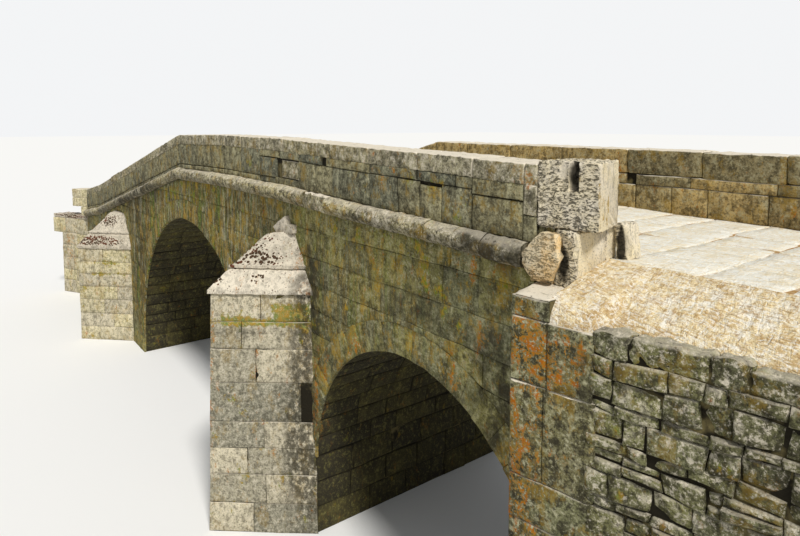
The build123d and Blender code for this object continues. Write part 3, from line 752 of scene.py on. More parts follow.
def mortar_finish(name, dark, light, share):
    """Recessed filling of the joints: open and dark in some places, silted up in others."""
    w = Stonework(name)
    grain = w.noise(0.03, 5, 0.65)
    w.colour = w.mix(w.mask(w.noise(0.55, 4, 0.6), 0.62 - 0.3 * share, 0.72 - 0.3 * share), light, dark)
    w.stain(dark, grain, 0.5, 0.75, 0.5)
    w.close(grain, 0.02, 0.97)


def finishes():
    """All finishes by name, made once."""
    made = bpy.data.materials
    if "wall_finish" in made:
        return made
    c = colours()

    def scaled(colour, factor):
        return tuple(min(1.0, factor * x) for x in colour)

    # A finish's top lays upward faces pale, partly as bleaching and partly as painted sunlight
    stone_finish("wall_finish", c.wall, c.wall_other, c.chalk, dirt=0.8, pale=0.3, speck=0.6, runs=1.0, drips=0.2,
                 ochre=0.6, moss=0.4, rim=0.1, seed=1)
    stone_finish("ring_finish", c.wall, c.wall_other, c.chalk, dirt=0.75, pale=0.3, speck=0.6, runs=1.0, drips=0.2,
                 ochre=0.6, moss=0.35, rust=0.35, rim=0.1, seed=2)
    # Painted shade: the stones under the arches are laid in dark colours
    stone_finish("soffit_finish", c.soffit, c.crust_and_shade, c.wall, dirt=0.9, pale=0.12, speck=0.4, moss=0.15, rust=0.15,
                 rim=0.8, seed=3)
    stone_finish("parapet_finish", c.parapet, c.parapet_other, c.chalk, dirt=0.6, pale=0.25, speck=0.75, drips=0.4,
                 ochre=0.4, rim=0.4, seed=4)
    stone_finish("coping_finish", c.coping, c.parapet, dirt=0.7, pale=0.3, speck=0.75, drips=0.3, seam=c.bleached_and_sunlit,
                 ochre=0.3, rust=0.25, moss=0.1, top=1.0, seed=5)
    # The roll's underside is darkened as painted shade, and its top laid pale, partly bleaching and partly painted
    # sunlight
    stone_finish("roll_finish", c.roll, c.coping, dirt=0.7, speck=1.0, ochre=0.5, rust=0.28, top=0.35, under=0.45,
                 rim=0.3, seed=6)
    stone_finish("cutwater_finish", c.cutwater, c.cutwater_other, dirt=0.28, pale=0.2, speck=0.6, drips=0.1,
                 ochre=0.25, cloud=0.09, moss=0.35, top=0.6, rim=0.3, seed=7)
    stone_finish("buttress_finish", c.buttress, c.cutwater, dirt=0.35, pale=0.2, speck=0.6, drips=0.25, ochre=0.3,
                 moss=0.35, top=0.6, rim=0.3, seed=17)
    stone_finish("cap_finish", c.cap, c.bleached_and_sunlit, dirt=0.35, pale=0.4, speck=0.4, moss=0.1, spots=1.0, top=0.3,
                 rim=0.2, seed=8)
    stone_finish("quoin_finish", c.quoin, c.wall_other, c.chalk, dirt=0.75, speck=1.0, drips=0.3, ochre=0.4,
                 rust=0.33, moss=0.1, top=1.0, rim=0.3, seed=9)
    stone_finish("rubble_finish", c.rubble, c.wall_other, dirt=0.85, speck=0.9, ochre=0.3, rust=0.15, top=0.4,
                 depth=0.02, rim=0.3, seed=10)
    stone_finish("inner_finish", c.warm, c.warm_other, c.chalk, dirt=0.55, pale=0.12, speck=0.7, drips=0.45,
                 ochre=0.4, rust=0.33, moss=0.05, top=1.0, rim=0.5, seed=11)
    picked_finish("picked_finish", c.pale, c.bleached_and_sunlit, 15)
    # The beige stone has less painted highlight on its ridges and less painted shade in its hollows
    picked_finish("beige_finish", c.beige, c.pale, 16, 0.3, 0.5)
    matted_finish("road_finish", c.road, scaled(c.road, 1.1), c.straw, 13)
    matted_finish("verge_finish", c.straw, c.road, c.earth, 14)
    mortar_finish("joint_mortar", c.joint, c.silt, 0.7)
    mortar_finish("wall_mortar", c.joint, c.wall_other, 0.2)
    # Painted shade: the joints under the arches get a darker copy of the filled joint colour
    mortar_finish("soffit_mortar", c.joint, scaled(c.silt, 0.3), 0.8)
    mortar_finish("road_earth", c.earth, scaled(c.road, 0.8), 0.6)
    return made


# Dressed faces of the pointed piers
POINTED = {"joint": 0.006, "arris": 0.011, "proud": 0.014, "rough": 0.005, "chip": 0.004}


def face_options(**changes):
    s = sizes()
    return {"joint": s.joint, "arris": s.arris, "proud": s.proud, **changes}


class BRIDGE_OT_side_walls(bpy.types.Operator):
    """Lays level courses over both side walls, round the arch rings and under the string course"""

    bl_idname = "bridge.side_walls"
    bl_label = "Side Walls"

    def execute(self, context):
        look = face_options(joint=0.003, arris=0.007, warp=0.014, chip=0.008, tilt=0.004, grid=(6, 4))
        for (side, name), end, seed in zip(SIDES, (PARAPET_END, RIGHT_END), (101, 131)):
            stones = Stones(seed)
            cells = wall_cells(end, stones.rng)
            if side > 0:
                cells = [cell for cell in cells if not self.in_opening(cell)] + self.beside_face()
            stones.panels(turned(cells, side), lambda s, t, h: xyz(-side * s, side * HALF + side * h, t), **look)
            stones.write(name + "_wall_stones", "wall_finish", "ashlar")
        return {"FINISHED"}

    def in_opening(self, cell):
        """Whether a cell lies in the right arch's opening, beyond the abutment's face."""
        x, z = np.mean(cell, axis=0)
        centre, spring, radius, _ = RIGHT_ARCH
        return x < PARAPET_END and math.hypot(x - centre, max(z - spring, 0)) < radius

    def beside_face(self, courses_under=6):
        """Cells between the right abutment's face and the circle that its ring would follow further down."""
        centre, spring, radius, depth = RIGHT_ARCH
        outer = radius + depth

        def ring(z):
            return centre + math.sqrt(outer ** 2 - (z - spring) ** 2)

        found = []
        for low, high in pairs(WALL_HEIGHTS[:courses_under + 1]):
            foot, head = (ring(z) if high > spring else centre + radius for z in (low, high))
            found.append([(PARAPET_END, low), (foot, low), (head, high), (PARAPET_END, high)])
        top = WALL_HEIGHTS[courses_under]
        last = (centre + outer * math.sin(LAST_VOUSSOIR), spring + outer * math.cos(LAST_VOUSSOIR))
        return found + [[(PARAPET_END, top), (ring(top), top), last, (PARAPET_END + 0.02, top + 0.025)]]


class BRIDGE_OT_arch_rings(bpy.types.Operator):
    """Sets the arch stones round both arches on both faces"""

    bl_idname = "bridge.arch_rings"
    bl_label = "Arch Rings"

    def execute(self, context):
        stones = Stones(171)
        look = face_options(joint=0.003, arris=0.007, grid=(4, 5))
        for side, _ in SIDES:
            for (centre, spring, radius, depth), last in ((LEFT_ARCH, math.pi / 2), (RIGHT_ARCH, LAST_VOUSSOIR)):
                outer = radius + depth
                places = cuts(-math.pi / 2 * outer, last * outer, sizes().voussoir, stones.rng, 0.12)

                def ring(s, t, h):
                    """Here s is the angle from the crown times the outer radius, and t is the radius."""
                    angle = s / outer
                    return xyz(centre - side * t * np.sin(angle), side * (HALF + h), spring + t * np.cos(angle))

                stones.panels(turned(boxes(radius - sizes().proud, outer, places), side), ring, **look)
        stones.write("arch_ring_stones", "ring_finish", "arch_stone")
        return {"FINISHED"}


class BRIDGE_OT_soffits(bpy.types.Operator):
    """Lays the stones under the arches, and those of the pier's and abutments' flanks below them"""

    bl_idname = "bridge.soffits"
    bl_label = "Soffits"

    def execute(self, context):
        look = {"joint": 0.012, "arris": 0.02, "proud": 0.02, "rough": 0.005, "lift": 0.006, "grid": (4, 3),
                "warp": 0.012}
        for (centre, spring, radius, _), name, end, right, foot, seed in (
                (LEFT_ARCH, "left", math.pi / 2, None, WALL_HEIGHTS[:1], 201),
                (RIGHT_ARCH, "right", LAST_SOFFIT, PARAPET_END, WALL_HEIGHTS[:3], 211)):
            stones = Stones(seed)

            def laid(heights, start, stop, place):
                stones.panels(courses(heights, start, stop, sizes().soffit_stone, stones.rng), place, **look)

            def soffit(s, t, h):
                """Here s runs across the bridge, and t is the arc's length from the crown."""
                angle = t / radius
                return xyz(centre + (radius - h) * np.sin(angle), s, spring + (radius - h) * np.cos(angle))

            laid(cuts(-math.pi / 2 * radius, end * radius, 0.33, stones.rng, 0.1), -HALF, HALF, soffit)
            flanks = [((centre - radius, -HALF), (centre - radius, HALF), (*foot, spring))]
            if right is None:
                flanks.append(((centre + radius, HALF), (centre + radius, -HALF), (*foot, spring)))
            else:
                high = spring + radius * math.cos(LAST_SOFFIT)
                flanks.append(((right, HALF), (right, -HALF), (*WALL_HEIGHTS[:6], high)))
            for start, stop, heights in flanks:
                place, width = standing(start, stop, 0, heights[-1])
                laid(heights, 0, width, place)
            stones.write(name + "_soffit_stones", "soffit_finish", "arch_stone")
        return {"FINISHED"}


class BRIDGE_OT_parapets(bpy.types.Operator):
    """Faces both parapets on both sides, in courses that follow the crest"""

    bl_idname = "bridge.parapets"
    bl_label = "Parapets"

    # Near face: stones of the left part by their joints, the others as start, end, foot and head
    tall_joints = (LEFT_END, -16.1, -15.1, -14.2, -13.2, -12.1, -11.0, -9.9, -8.9, -7.8, -6.7, -5.58, -4.33, -3.4,
                   -2.62)
    right_stones = (
        (-2.62, -1.75, 0.11, 0.598), (-1.75, -0.9, 0.11, 0.598), (-0.9, -0.21, 0.11, 0.455),
        (-0.9, -0.1, 0.465, 0.598), (-0.1, 0.6, 0.46, 0.598), (-0.9, -0.25, 0, 0.11), (-0.25, 0.25, 0, 0.13),
        (0.25, 0.6, 0, 0.13),
        (0.6, 1.15, 0, 0.46), (1.15, 1.66, 0, 0.455), (0.6, 1.34, 0.46, 0.598), (1.47, 2.65, 0.455, 0.598),
        (1.66, 2.65, 0, 0.455), (2.65, 3.3, 0, 0.46), (2.65, 3.69, 0.46, 0.598), (3.3, 3.75, 0, 0.455),
        (3.75, 4.16, 0, 0.425), (4.16, 4.68, 0, 0.46), (3.69, 4.4, 0.46, 0.598), (4.4, 4.68, 0.46, 0.598),
        (4.69, 5.43, 0, 0.405), (4.68, 5.43, 0.41, 0.598), (5.43, PARAPET_END, 0, 0.27),
    )
    # Two pale stones, and how far each stands out
    pale_stones = (((-0.05, 0.6, 0.14, 0.445), 0.011), ((5.435, PARAPET_END, 0.28, 0.598), 0.035))
    # Road side of the far parapet: the levels of its courses, the joints of its right part, and the hole in it
    far_levels = (0, 0.41, 0.57)
    lower_joints = (4.27, 4.86, 5.4, 6.2, 7.1, 8.1, RIGHT_END)
    upper_joints = (4.27, 5.14, 6.3, 7.3, 8.3, RIGHT_END)
    hole = (4.11, 4.27)
    # Course that lies bare where the far coping is missing: drops below the crest, and how far it stands out
    bed_top, bed_foot, bed_outset = 0.22, 0.375, 0.02

    def execute(self, context):
        def face(way, y, out, crest, drop):
            """Place on a parapet's face. s runs to the right as seen from outside, and t rises from a drop."""
            return lambda s, t, h: xyz(way * s, y + out * h, crest(way * s) - drop + t)

        def listed(*rows):
            return [boxes(foot, head, [a, b])[0] for a, b, foot, head in rows]

        stones = Stones(301)
        outer = face(1, -HALF, -1, near_crest, PARAPET_DROP)
        cells = boxes(0.11, 0.598, self.tall_joints) + listed(*self.right_stones)
        cells += boxes(0, 0.1, cuts(LEFT_END, -2.62, 1.0, stones.rng)) + boxes(0, 0.11, [-2.62, -1.7, -0.9])
        look = face_options(joint=0.008, arris=0.014, grid=(7, 5), chip=0.01, rough=0.005, tilt=0.005)
        stones.panels(cells, outer, **look)
        stones.write("near_parapet_stones", "parapet_finish", "parapet_stone")
        stones = Stones(311)
        for row, proud in self.pale_stones:
            flat = {"tilt": 0, "lift": 0, "bulge": 0.002, "rough": 0.002, "chip": 0.004, "proud": proud}
            stones.panels(listed(row), outer, **{**look, **flat})
        stones.write("near_parapet_pale_stones", "coping_finish", "parapet_stone")

        stones = Stones(321)
        look = face_options(grid=(6, 4), chip=0.014, rough=0.006)
        near = courses([0.15, 0.5, 0.73], LEFT_END, PARAPET_END, sizes().parapet_stone, stones.rng)
        stones.panels(turned(near, 1), face(-1, -INNER, 1, near_crest, ROAD_DROP), **look)
        foot, joint, head = self.far_levels
        far = courses(self.far_levels, LEFT_END, self.hole[1], 0.95, stones.rng)
        far += boxes(foot, joint, self.lower_joints) + boxes(joint, head, self.upper_joints)
        cleared = []
        for cell in far:
            (a, low), (b, _), (_, high), _ = cell
            if low == joint and b > self.hole[0] and a < self.hole[1]:
                cleared += boxes(low, high, [a, self.hole[0]]) if a < self.hole[0] - 0.05 else []
                cleared += boxes(low, high, [self.hole[1], b]) if b > self.hole[1] + 0.05 else []
            else:
                cleared.append(cell)
        stones.panels(cleared, face(1, INNER, -1, far_crest, ROAD_DROP), **look)
        stones.write("parapet_inner_stones", "inner_finish", "parapet_stone")

        stones = Stones(331)
        cells = courses([0, 0.36, 0.58], LEFT_END, RIGHT_END, sizes().parapet_stone, stones.rng)
        stones.panels(turned(cells, 1), face(-1, HALF, 1, far_crest, PARAPET_DROP), **look)
        stones.write("far_parapet_stones", "parapet_finish", "parapet_stone")
        stones = Stones(341)
        joints = cuts(MISSING_COPING[0], BRIDGE_OT_copings.broken_end, 0.75, stones.rng)
        corners = crest_blocks(joints, far_crest, INNER - sizes().proud, HALF + self.bed_outset, -self.bed_top,
                               self.bed_foot)
        stones.blocks(corners, arris=0.02, rough=0.01, size=0.16, steps=9, sides=5)
        stones.write("far_parapet_bed_stones", "inner_finish", "parapet_stone")
        return {"FINISHED"}


def box_ends(ends):
    """Eight corners of a stone from its two ends, each as x, two widths and two heights."""
    return [(x, y, z) for x, near, far, low, high in ends
            for y, z in ((near, low), (far, low), (far, high), (near, high))]


def crest_blocks(places, crest, y_near, y_far, rise, fall, gap=0.005):
    """Eight corners of each coping stone between two joints: its bottom and top follow the crest."""
    return [box_ends([(x, y_near, y_far, crest(x) - fall, crest(x) + rise) for x in (a + gap, b - gap)])
            for a, b in pairs(places)]


class BRIDGE_OT_copings(bpy.types.Operator):
    """Lays the whole stones along the tops of both parapets"""

    bl_idname = "bridge.copings"
    bl_label = "Copings"

    near_joints = (LEFT_END, -16.43, -15.61, -14.8, -13.88, -12.77, -11.6, -10.34, -9.4, -8.64, -7.73, -6.89, -6.2,
                   -5.53, -4.66, -3.7, -2.58, -1.75, -0.88, 0.04, 1.22, 2.63, 3.69, 4.68, 5.43, PARAPET_END)
    far_joints = (5.3, 6.4, 7.5, 8.4, RIGHT_END)
    # Number of the near stone that lies higher than its neighbours, and corners round a stone's top
    raised, top_corners = 5, [2, 3, 6, 7]
    # The far coping breaks off in a wedge, and from the hole on its stones are greyer
    broken_end, broken_drop, hole = -1.6, 0.29, 4.11
    rise, near_depth, far_depth = 0.006, 0.215, 0.375

    def execute(self, context):
        edge = sizes().proud + 0.003

        def scattered(stones, spread, axes, joints, *place):
            corners = np.array(crest_blocks(joints, *place))
            for axis in axes:
                corners[:, :, axis] += stones.rng.normal(0, spread, (len(corners), 1))
            return corners

        stones = Stones(401)
        corners = scattered(stones, 0.004, (2, 1), self.near_joints, near_crest, -HALF - edge, -INNER + edge,
                            self.rise, self.near_depth)
        corners[self.raised, self.top_corners, 2] += 0.03
        stones.blocks(corners, arris=0.016, rough=0.007, size=0.16, steps=15, sides=6, ends=0.0)
        stones.write("near_coping_stones", "coping_finish", "coping_stone", "near_coping")

        look = {"arris": 0.024, "rough": 0.008, "size": 0.16, "steps": 11, "sides": 5}
        far = (far_crest, INNER - edge, HALF + edge)
        for name, seed in (("left", 411), ("right", 421)):
            stones = Stones(seed)
            if name == "left":
                joints = cuts(LEFT_END, MISSING_COPING[0], 0.95, stones.rng)
                stones.blocks(scattered(stones, 0.006, (2,), joints, *far, self.rise, self.far_depth), **look)
            else:
                joints = [*cuts(MISSING_COPING[1], self.hole, 1.15, stones.rng), *self.far_joints]
                corners = scattered(stones, 0.006, (2,), joints, *far, self.rise, self.far_depth)
                warm = np.mean(corners[..., 0], axis=1) < self.hole
                broken = np.array(crest_blocks([self.broken_end, MISSING_COPING[1]], *far, 0.0, self.far_depth))
                broken[:, [2, 3], 2] -= self.broken_drop
                for part, tone in ((broken, (0, 0.2)), (corners[warm], (0, 0.3)), (corners[~warm], (0.75, 1))):
                    stones.blocks(part, tone=tone, **look)
            stones.write(f"far_{name}_coping_stones", "inner_finish", "coping_stone", f"far_{name}_coping")
        return {"FINISHED"}


class BRIDGE_OT_string_courses(bpy.types.Operator):
    """Carries the roll moulding along both sides, and sets the squared stone where the near roll is broken off"""

    bl_idname = "bridge.string_courses"
    bl_label = "String Courses"

    left_joints = (LEFT_END, -16.12, -15.3, -14.2, -13.1, -11.9, -10.6, -9.72, -8.4, -7.15, -6.3, -5.19, -4.34,
                   -3.4, -2.62, -1.41, -0.52)
    right_joints = (2.52, 3.32, 3.99, 4.51, 4.95)
    # Half the height of the roll's tail, how far its circle goes on past the wall's face, and size of its ends
    half_height, past, worn = 0.13, 0.35, 0.985
    roll_overlap = 0.05

    def roll(self, stones, places, side):
        """The section is a squared tail with a circle before the wall, carried along under the crest."""
        radius, outset = sizes().roll_radius + 0.006, sizes().roll_outset
        angle = np.linspace(-math.pi / 2 - self.past, math.pi / 2 + self.past, 17)
        back, tail = INNER - HALF, self.half_height
        out = np.concatenate([[back, 0], outset + radius * np.cos(angle), [0, back]])
        up = np.concatenate([[-tail, -tail], radius * np.sin(angle), [tail, tail]])
        sections = []
        for a, b in pairs(places):
            x = np.concatenate([[a + 0.004], np.linspace(a + 0.02, b - 0.02, 8), [b - 0.004]])
            drawn = np.ones((len(x), 1))
            drawn[[0, -1]] = self.worn
            z = (near_crest(x) - PARAPET_DROP - tail)[:, None] + up[None] * drawn
            sections.append(xyz(x[:, None], side * (HALF + out[None] * np.where(out > 0, drawn, 1)), z))
        sections = np.array(sections)
        sections[..., 2] += stones.rng.normal(0, 0.004, (len(sections), 1, 1))
        stones.bars(sections, flip=side < 0, rough=0.011, ends=0.0)

    def execute(self, context):
        first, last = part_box("near_broken_string_stone")
        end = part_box("near_right_string")[1].x + self.roll_overlap
        stones = Stones(501)
        self.roll(stones, (*self.left_joints, first.x), -1)
        self.roll(stones, (last.x, *self.right_joints, end), -1)
        stones.write("near_string_stones", "roll_finish", "string_stone", "near_left_string", "near_right_string")
        stones = Stones(511)
        joints = (first.x, 0.55 * first.x + 0.45 * last.x, last.x)
        corners = crest_blocks(joints, near_crest, first.y, last.y, -PARAPET_DROP, WALL_DROP)
        stones.blocks(corners, arris=0.03, rough=0.012, size=0.14, steps=9, sides=6)
        stones.write("near_broken_string_stones", "coping_finish", "string_stone", "near_broken_string_stone")
        stones = Stones(521)
        self.roll(stones, cuts(LEFT_END, RIGHT_END, sizes().roll_stone, stones.rng), 1)
        stones.write("far_string_stones", "roll_finish", "string_stone", "far_string")
        return {"FINISHED"}


def point_levels(centre, side, levels, rounding=0.02, per_face=19):
    """Closed plan outlines of a pointed pier at several heights.

    Each level is (z, width to the left, width to the right, reach): the outline runs from the wall
    along one face, round the nose on a small arc and back along the other face.
    """
    rows = []
    base = side * HALF
    share = np.linspace(0, 1, per_face)[:, None]
    for z, before, after, reach in levels:
        nose, left, right = np.array(
            [(centre, base + side * reach), (centre - before, base), (centre + after, base)])
        cut = rounding / max(np.linalg.norm(nose - left), rounding * 3)
        first = left + (nose - left) * share * (1 - cut)
        second = nose + (right - nose) * (cut + share * (1 - cut))
        tip = nose * 0.7 + 0.15 * (first[-1] + second[0])
        behind = base - side * 0.05
        outline = np.concatenate([first, tip[None], second, [[right[0], behind], [left[0], behind]]])
        rows.append(xyz(outline[:, 0], outline[:, 1], z))
    return np.array([rows])


def cap_tiers(eaves, head, split, band=0.1, side_steps=6):
    """Levels of a cap's two tiers, which meet at the split height. The ends are as in point_levels."""
    eaves, head = np.array(eaves), np.array(head)
    top_of_band = eaves + [band, 0, 0, 0]
    middle = top_of_band + (head - top_of_band) * (split - top_of_band[0]) / (head[0] - top_of_band[0])

    def drawn(level, *steps):
        return [level + [up, out, out, out] for up, out in steps]

    def between(low, high):
        return list(np.linspace(low, high, side_steps + 2)[1:-1])

    return (drawn(eaves, (0, -0.02), (0.008, 0.022)) + drawn(top_of_band, (-0.02, 0.026), (0.005, 0))
            + between(top_of_band, middle) + drawn(middle, (-0.016, 0), (-0.004, -0.03)),
            drawn(middle, (0.004, -0.01), (0.012, 0.018), (0.05, 0.014)) + between(middle, head)
            + drawn(head, (-0.016, 0), (-0.002, -0.03)))


def pointed_pier(stones, side, centre, half, reach, heights, ends_of, grid, batter=0.0):
    """Lays the two faces of a pointed pier. ends_of gives a course's joints and end along a face."""
    top = heights[-1]
    right, left, nose = ([(centre + shift * (half + more), side * HALF + side * out * (reach + more), z)
                          for z, more in ((0, batter), (top, 0))] for shift, out in ((1, 0), (-1, 0), (0, 1)))
    faces = ((nose, right), (left, nose)) if side < 0 else ((right, nose), (nose, left))
    for number, (start, stop) in enumerate(faces):
        place, width, height = leaning(start[0], stop[0], stop[1], start[1])
        share = height / top
        cells = []
        for k, (low, high) in enumerate(pairs(heights)):
            places = [-0.03 * (number == 0), *ends_of(side, number, k, width, start is nose)]
            cells += boxes(low * share, high * share, places)
        stones.panels(cells, place, grid=grid, **POINTED)


class BRIDGE_OT_cutwaters(bpy.types.Operator):
    """Faces the pointed cutwaters of the pier, and sets their sloping caps"""

    bl_idname = "bridge.cutwaters"
    bl_label = "Cutwaters"

    centre, half, reach, batter = -0.09, 1.05, 1.27, 0.12
    heights = (0, 0.5, 1.0, 1.45, 1.9, 2.56, 3.12, 3.58, 4.04)
    # Joints of each course, from the nose to the wall
    joints = ((0.7,), (0.9,), (0.6,), (0.88,), (), (0.75,), (0.5,), (0.84,))
    gap_course, gap_start = 4, 1.5
    # Outline of the broken stone on top, from its foot round, as distance along the road and height
    apex = ((0.16, 4.935), (-0.1, 4.925), (-0.24, 5.01), (-0.03, 5.13), (0.24, 5.26), (0.3, 5.125), (0.5, 5.13),
            (0.51, 4.99))
    apex_reach = 0.11
    # Heights of the joint between the cap's tiers and of its head, and how far the head rises to the right
    split, head, head_rise = 4.42, 4.92, 0.12

    def course_ends(self, side, number, k, width, from_nose):
        """Joints of a course and its end, which stops short where the near cutwater has lost a stone."""
        gap = side < 0 and number == 0 and k == self.gap_course
        return [*(x if from_nose else width - x for x in self.joints[k - number]), self.gap_start if gap else width]

    def execute(self, context):
        for side, name in SIDES:
            stones = Stones(601 + side)
            pointed_pier(stones, side, self.centre, self.half, self.reach, self.heights, self.course_ends, (9, 6),
                         self.batter)
            stones.write(name + "_cutwater_stones", "cutwater_finish", "ashlar")
            stones = Stones(621 + side)
            eave = (self.heights[-1], self.half + 0.06, self.half + 0.06, self.reach + 0.07)
            left, right = (0.2, 0.58) if side < 0 else (0.52, 0.52)
            for levels in cap_tiers(eave, (self.head, left, right, 0.325), self.split):
                rows = point_levels(self.centre, side, levels)
                along = np.clip((rows[..., 0] - self.centre) / right, 0, 1)
                up = np.clip((rows[..., 2] - self.split) / (self.head - self.split), 0, 1)
                rows[..., 2] += self.head_rise * along * up
                stones.bars(rows, flip=side > 0, rough=0.008, size=0.22)
            outline = subdivided(np.array(self.apex), (0, 0.33, 0.67))
            middle = outline.mean(0)
            reach = self.apex_reach
            sections = [xyz(*(middle + (outline - middle) * share).T, side * HALF + side * out)[:, [0, 2, 1]]
                        for out, share in ((-0.02, 1), (reach * 0.6, 1), (reach, 0.97), (reach + 0.012, 0.85))]
            stones.bars([sections], flip=side < 0, rough=0.005, size=0.12)
            stones.write(name + "_cutwater_cap_stones", "cap_finish", "cap_stone", name + "_cutwater_cap")
        return {"FINISHED"}


def subdivided(outline, parts):
    """A closed outline with points at these parts of each side."""
    sides = np.roll(outline, -1, axis=0) - outline
    return np.concatenate([outline + sides * part for part in parts], axis=1).reshape(-1, 2)


class BRIDGE_OT_buttresses(bpy.types.Operator):
    """Faces the pointed buttresses of the left abutment, and sets their caps"""

    bl_idname = "bridge.buttresses"
    bl_label = "Buttresses"

    centre, half, reach = -11.695, 1.25, 1.27
    heights = (0, 0.42, 0.85, 1.3, 1.72, 2.12, 2.5, 2.92)
    # Joints of four courses as parts of a face's width, over and over
    joints = (0.36, 0.62, 0.45, 0.7)
    head, split = (3.98, 0.5, 0.66, 0.33), 3.37

    def course_ends(self, side, number, k, width, from_nose):
        return [width * self.joints[(k + 2 * number) % len(self.joints)], width]

    def execute(self, context):
        for side, name in SIDES:
            stones = Stones(651 + side)
            pointed_pier(stones, side, self.centre, self.half, self.reach, self.heights, self.course_ends, (8, 5))
            stones.write(name + "_buttress_stones", "buttress_finish", "ashlar")
            stones = Stones(671 + side)
            eave = (self.heights[-1], self.half + 0.06, self.half + 0.06, self.reach + 0.06)
            for levels in cap_tiers(eave, self.head, self.split):
                stones.bars(point_levels(self.centre, side, levels), flip=side > 0, rough=0.012, size=0.25)
            stones.write(name + "_buttress_cap_stones", "cap_finish", "cap_stone", name + "_buttress_cap")
        return {"FINISHED"}


class BRIDGE_OT_left_wings(bpy.types.Operator):
    """Faces the wing walls that flare from the left end, with their coping and the flared parapet stones"""

    bl_idname = "bridge.left_wings"
    bl_label = "Left Wings"

    turn = math.radians(28)
    back = 0.5 / math.cos(turn)
    # Lengths of the parts along the wing, and the levels of their courses
    shaft, head, flare_foot, flare = 1.5, 2.0, 0.42, 0.9
    shaft_levels, head_levels, coping_top = (0, 0.5, 0.95, 1.45, 1.95, 2.44), (2.44, 3.04), 3.19
    coping_joints = (0, 0.75, 1.3, head)
    # Courses of the flared parapet: foot, head and upright joint
    flare_levels = ((3.55, 3.9, 0.5), (3.9, 4.25, 0.35))

    def corner(self, distance, depth, side):
        """Plan point of the wing: distance along its front line, then depth behind it across the road."""
        x = LEFT_END - distance * math.cos(self.turn)
        y = -HALF - distance * math.sin(self.turn) + depth
        return (x, -side * y)

    def stones(self, places, front, back, low, high, side):
        """Eight corners of each stone of one course of the wing."""
        found = []
        for near_end, far_end in pairs(places):
            ends = []
            for distance in (far_end - 0.005, near_end + 0.005):
                a, b = (self.corner(distance, depth, side) for depth in (front, back)[::-side])
                ends += [(*a, low), (*b, low), (*b, high), (*a, high)]
            found.append(ends)
        return found

    def execute(self, context):
        look = face_options(joint=0.006, arris=0.016, grid=(7, 5), chip=0.008)
        for side, name in SIDES:
            stones = Stones(701 + side)
            for length, levels in ((self.shaft, self.shaft_levels), (self.head, self.head_levels)):
                front, root, back, tip = (self.corner(*at, side) for at in (
                    (length, 0), (0, 0), (0, self.back), (length, self.back)))
                for number, pair in enumerate(((front, root), (back, tip), (tip, front))):
                    low, edge = levels[0], 0.03 * (number == 0)
                    place, width = standing(*pair[::-side], low, levels[-1])
                    rows = [z - low for z in levels]
                    stones.panels(courses(rows, -edge, width + edge, 0.8, stones.rng), place, **look)
            stones.write(name + "_left_wing_stones", "buttress_finish", "ashlar")
            stones = Stones(711 + side)
            found = self.stones(self.coping_joints, -0.04, self.back + 0.04, self.head_levels[1] + 0.004,
                                self.coping_top, side)
            stones.blocks(found, arris=0.03, rough=0.014, size=0.16, steps=8, sides=5)
            stones.write(name + "_left_wing_coping_stones", "cap_finish", "coping_stone", name + "_left_wing_coping")
            stones = Stones(721 + side)
            found = self.stones((0, self.flare_foot), 0, self.back, self.coping_top + 0.004,
                                self.flare_levels[0][0] - 0.004, side)
            for low, high, middle in self.flare_levels:
                found += self.stones((0, middle, self.flare), 0, self.back, low + 0.003, high - 0.003, side)
            stones.blocks(found, arris=0.025, rough=0.01, steps=6, sides=4)
            stones.write(name + "_left_flare_stones", "buttress_finish", "parapet_stone", name + "_left_flare")
        return {"FINISHED"}


def wing_point(along):
    """Point of the near wing wall's front line, at a distance along the road."""
    return (WING_CORNER[0] + along, WING_CORNER[1] + along * math.tan(WING_TURN))


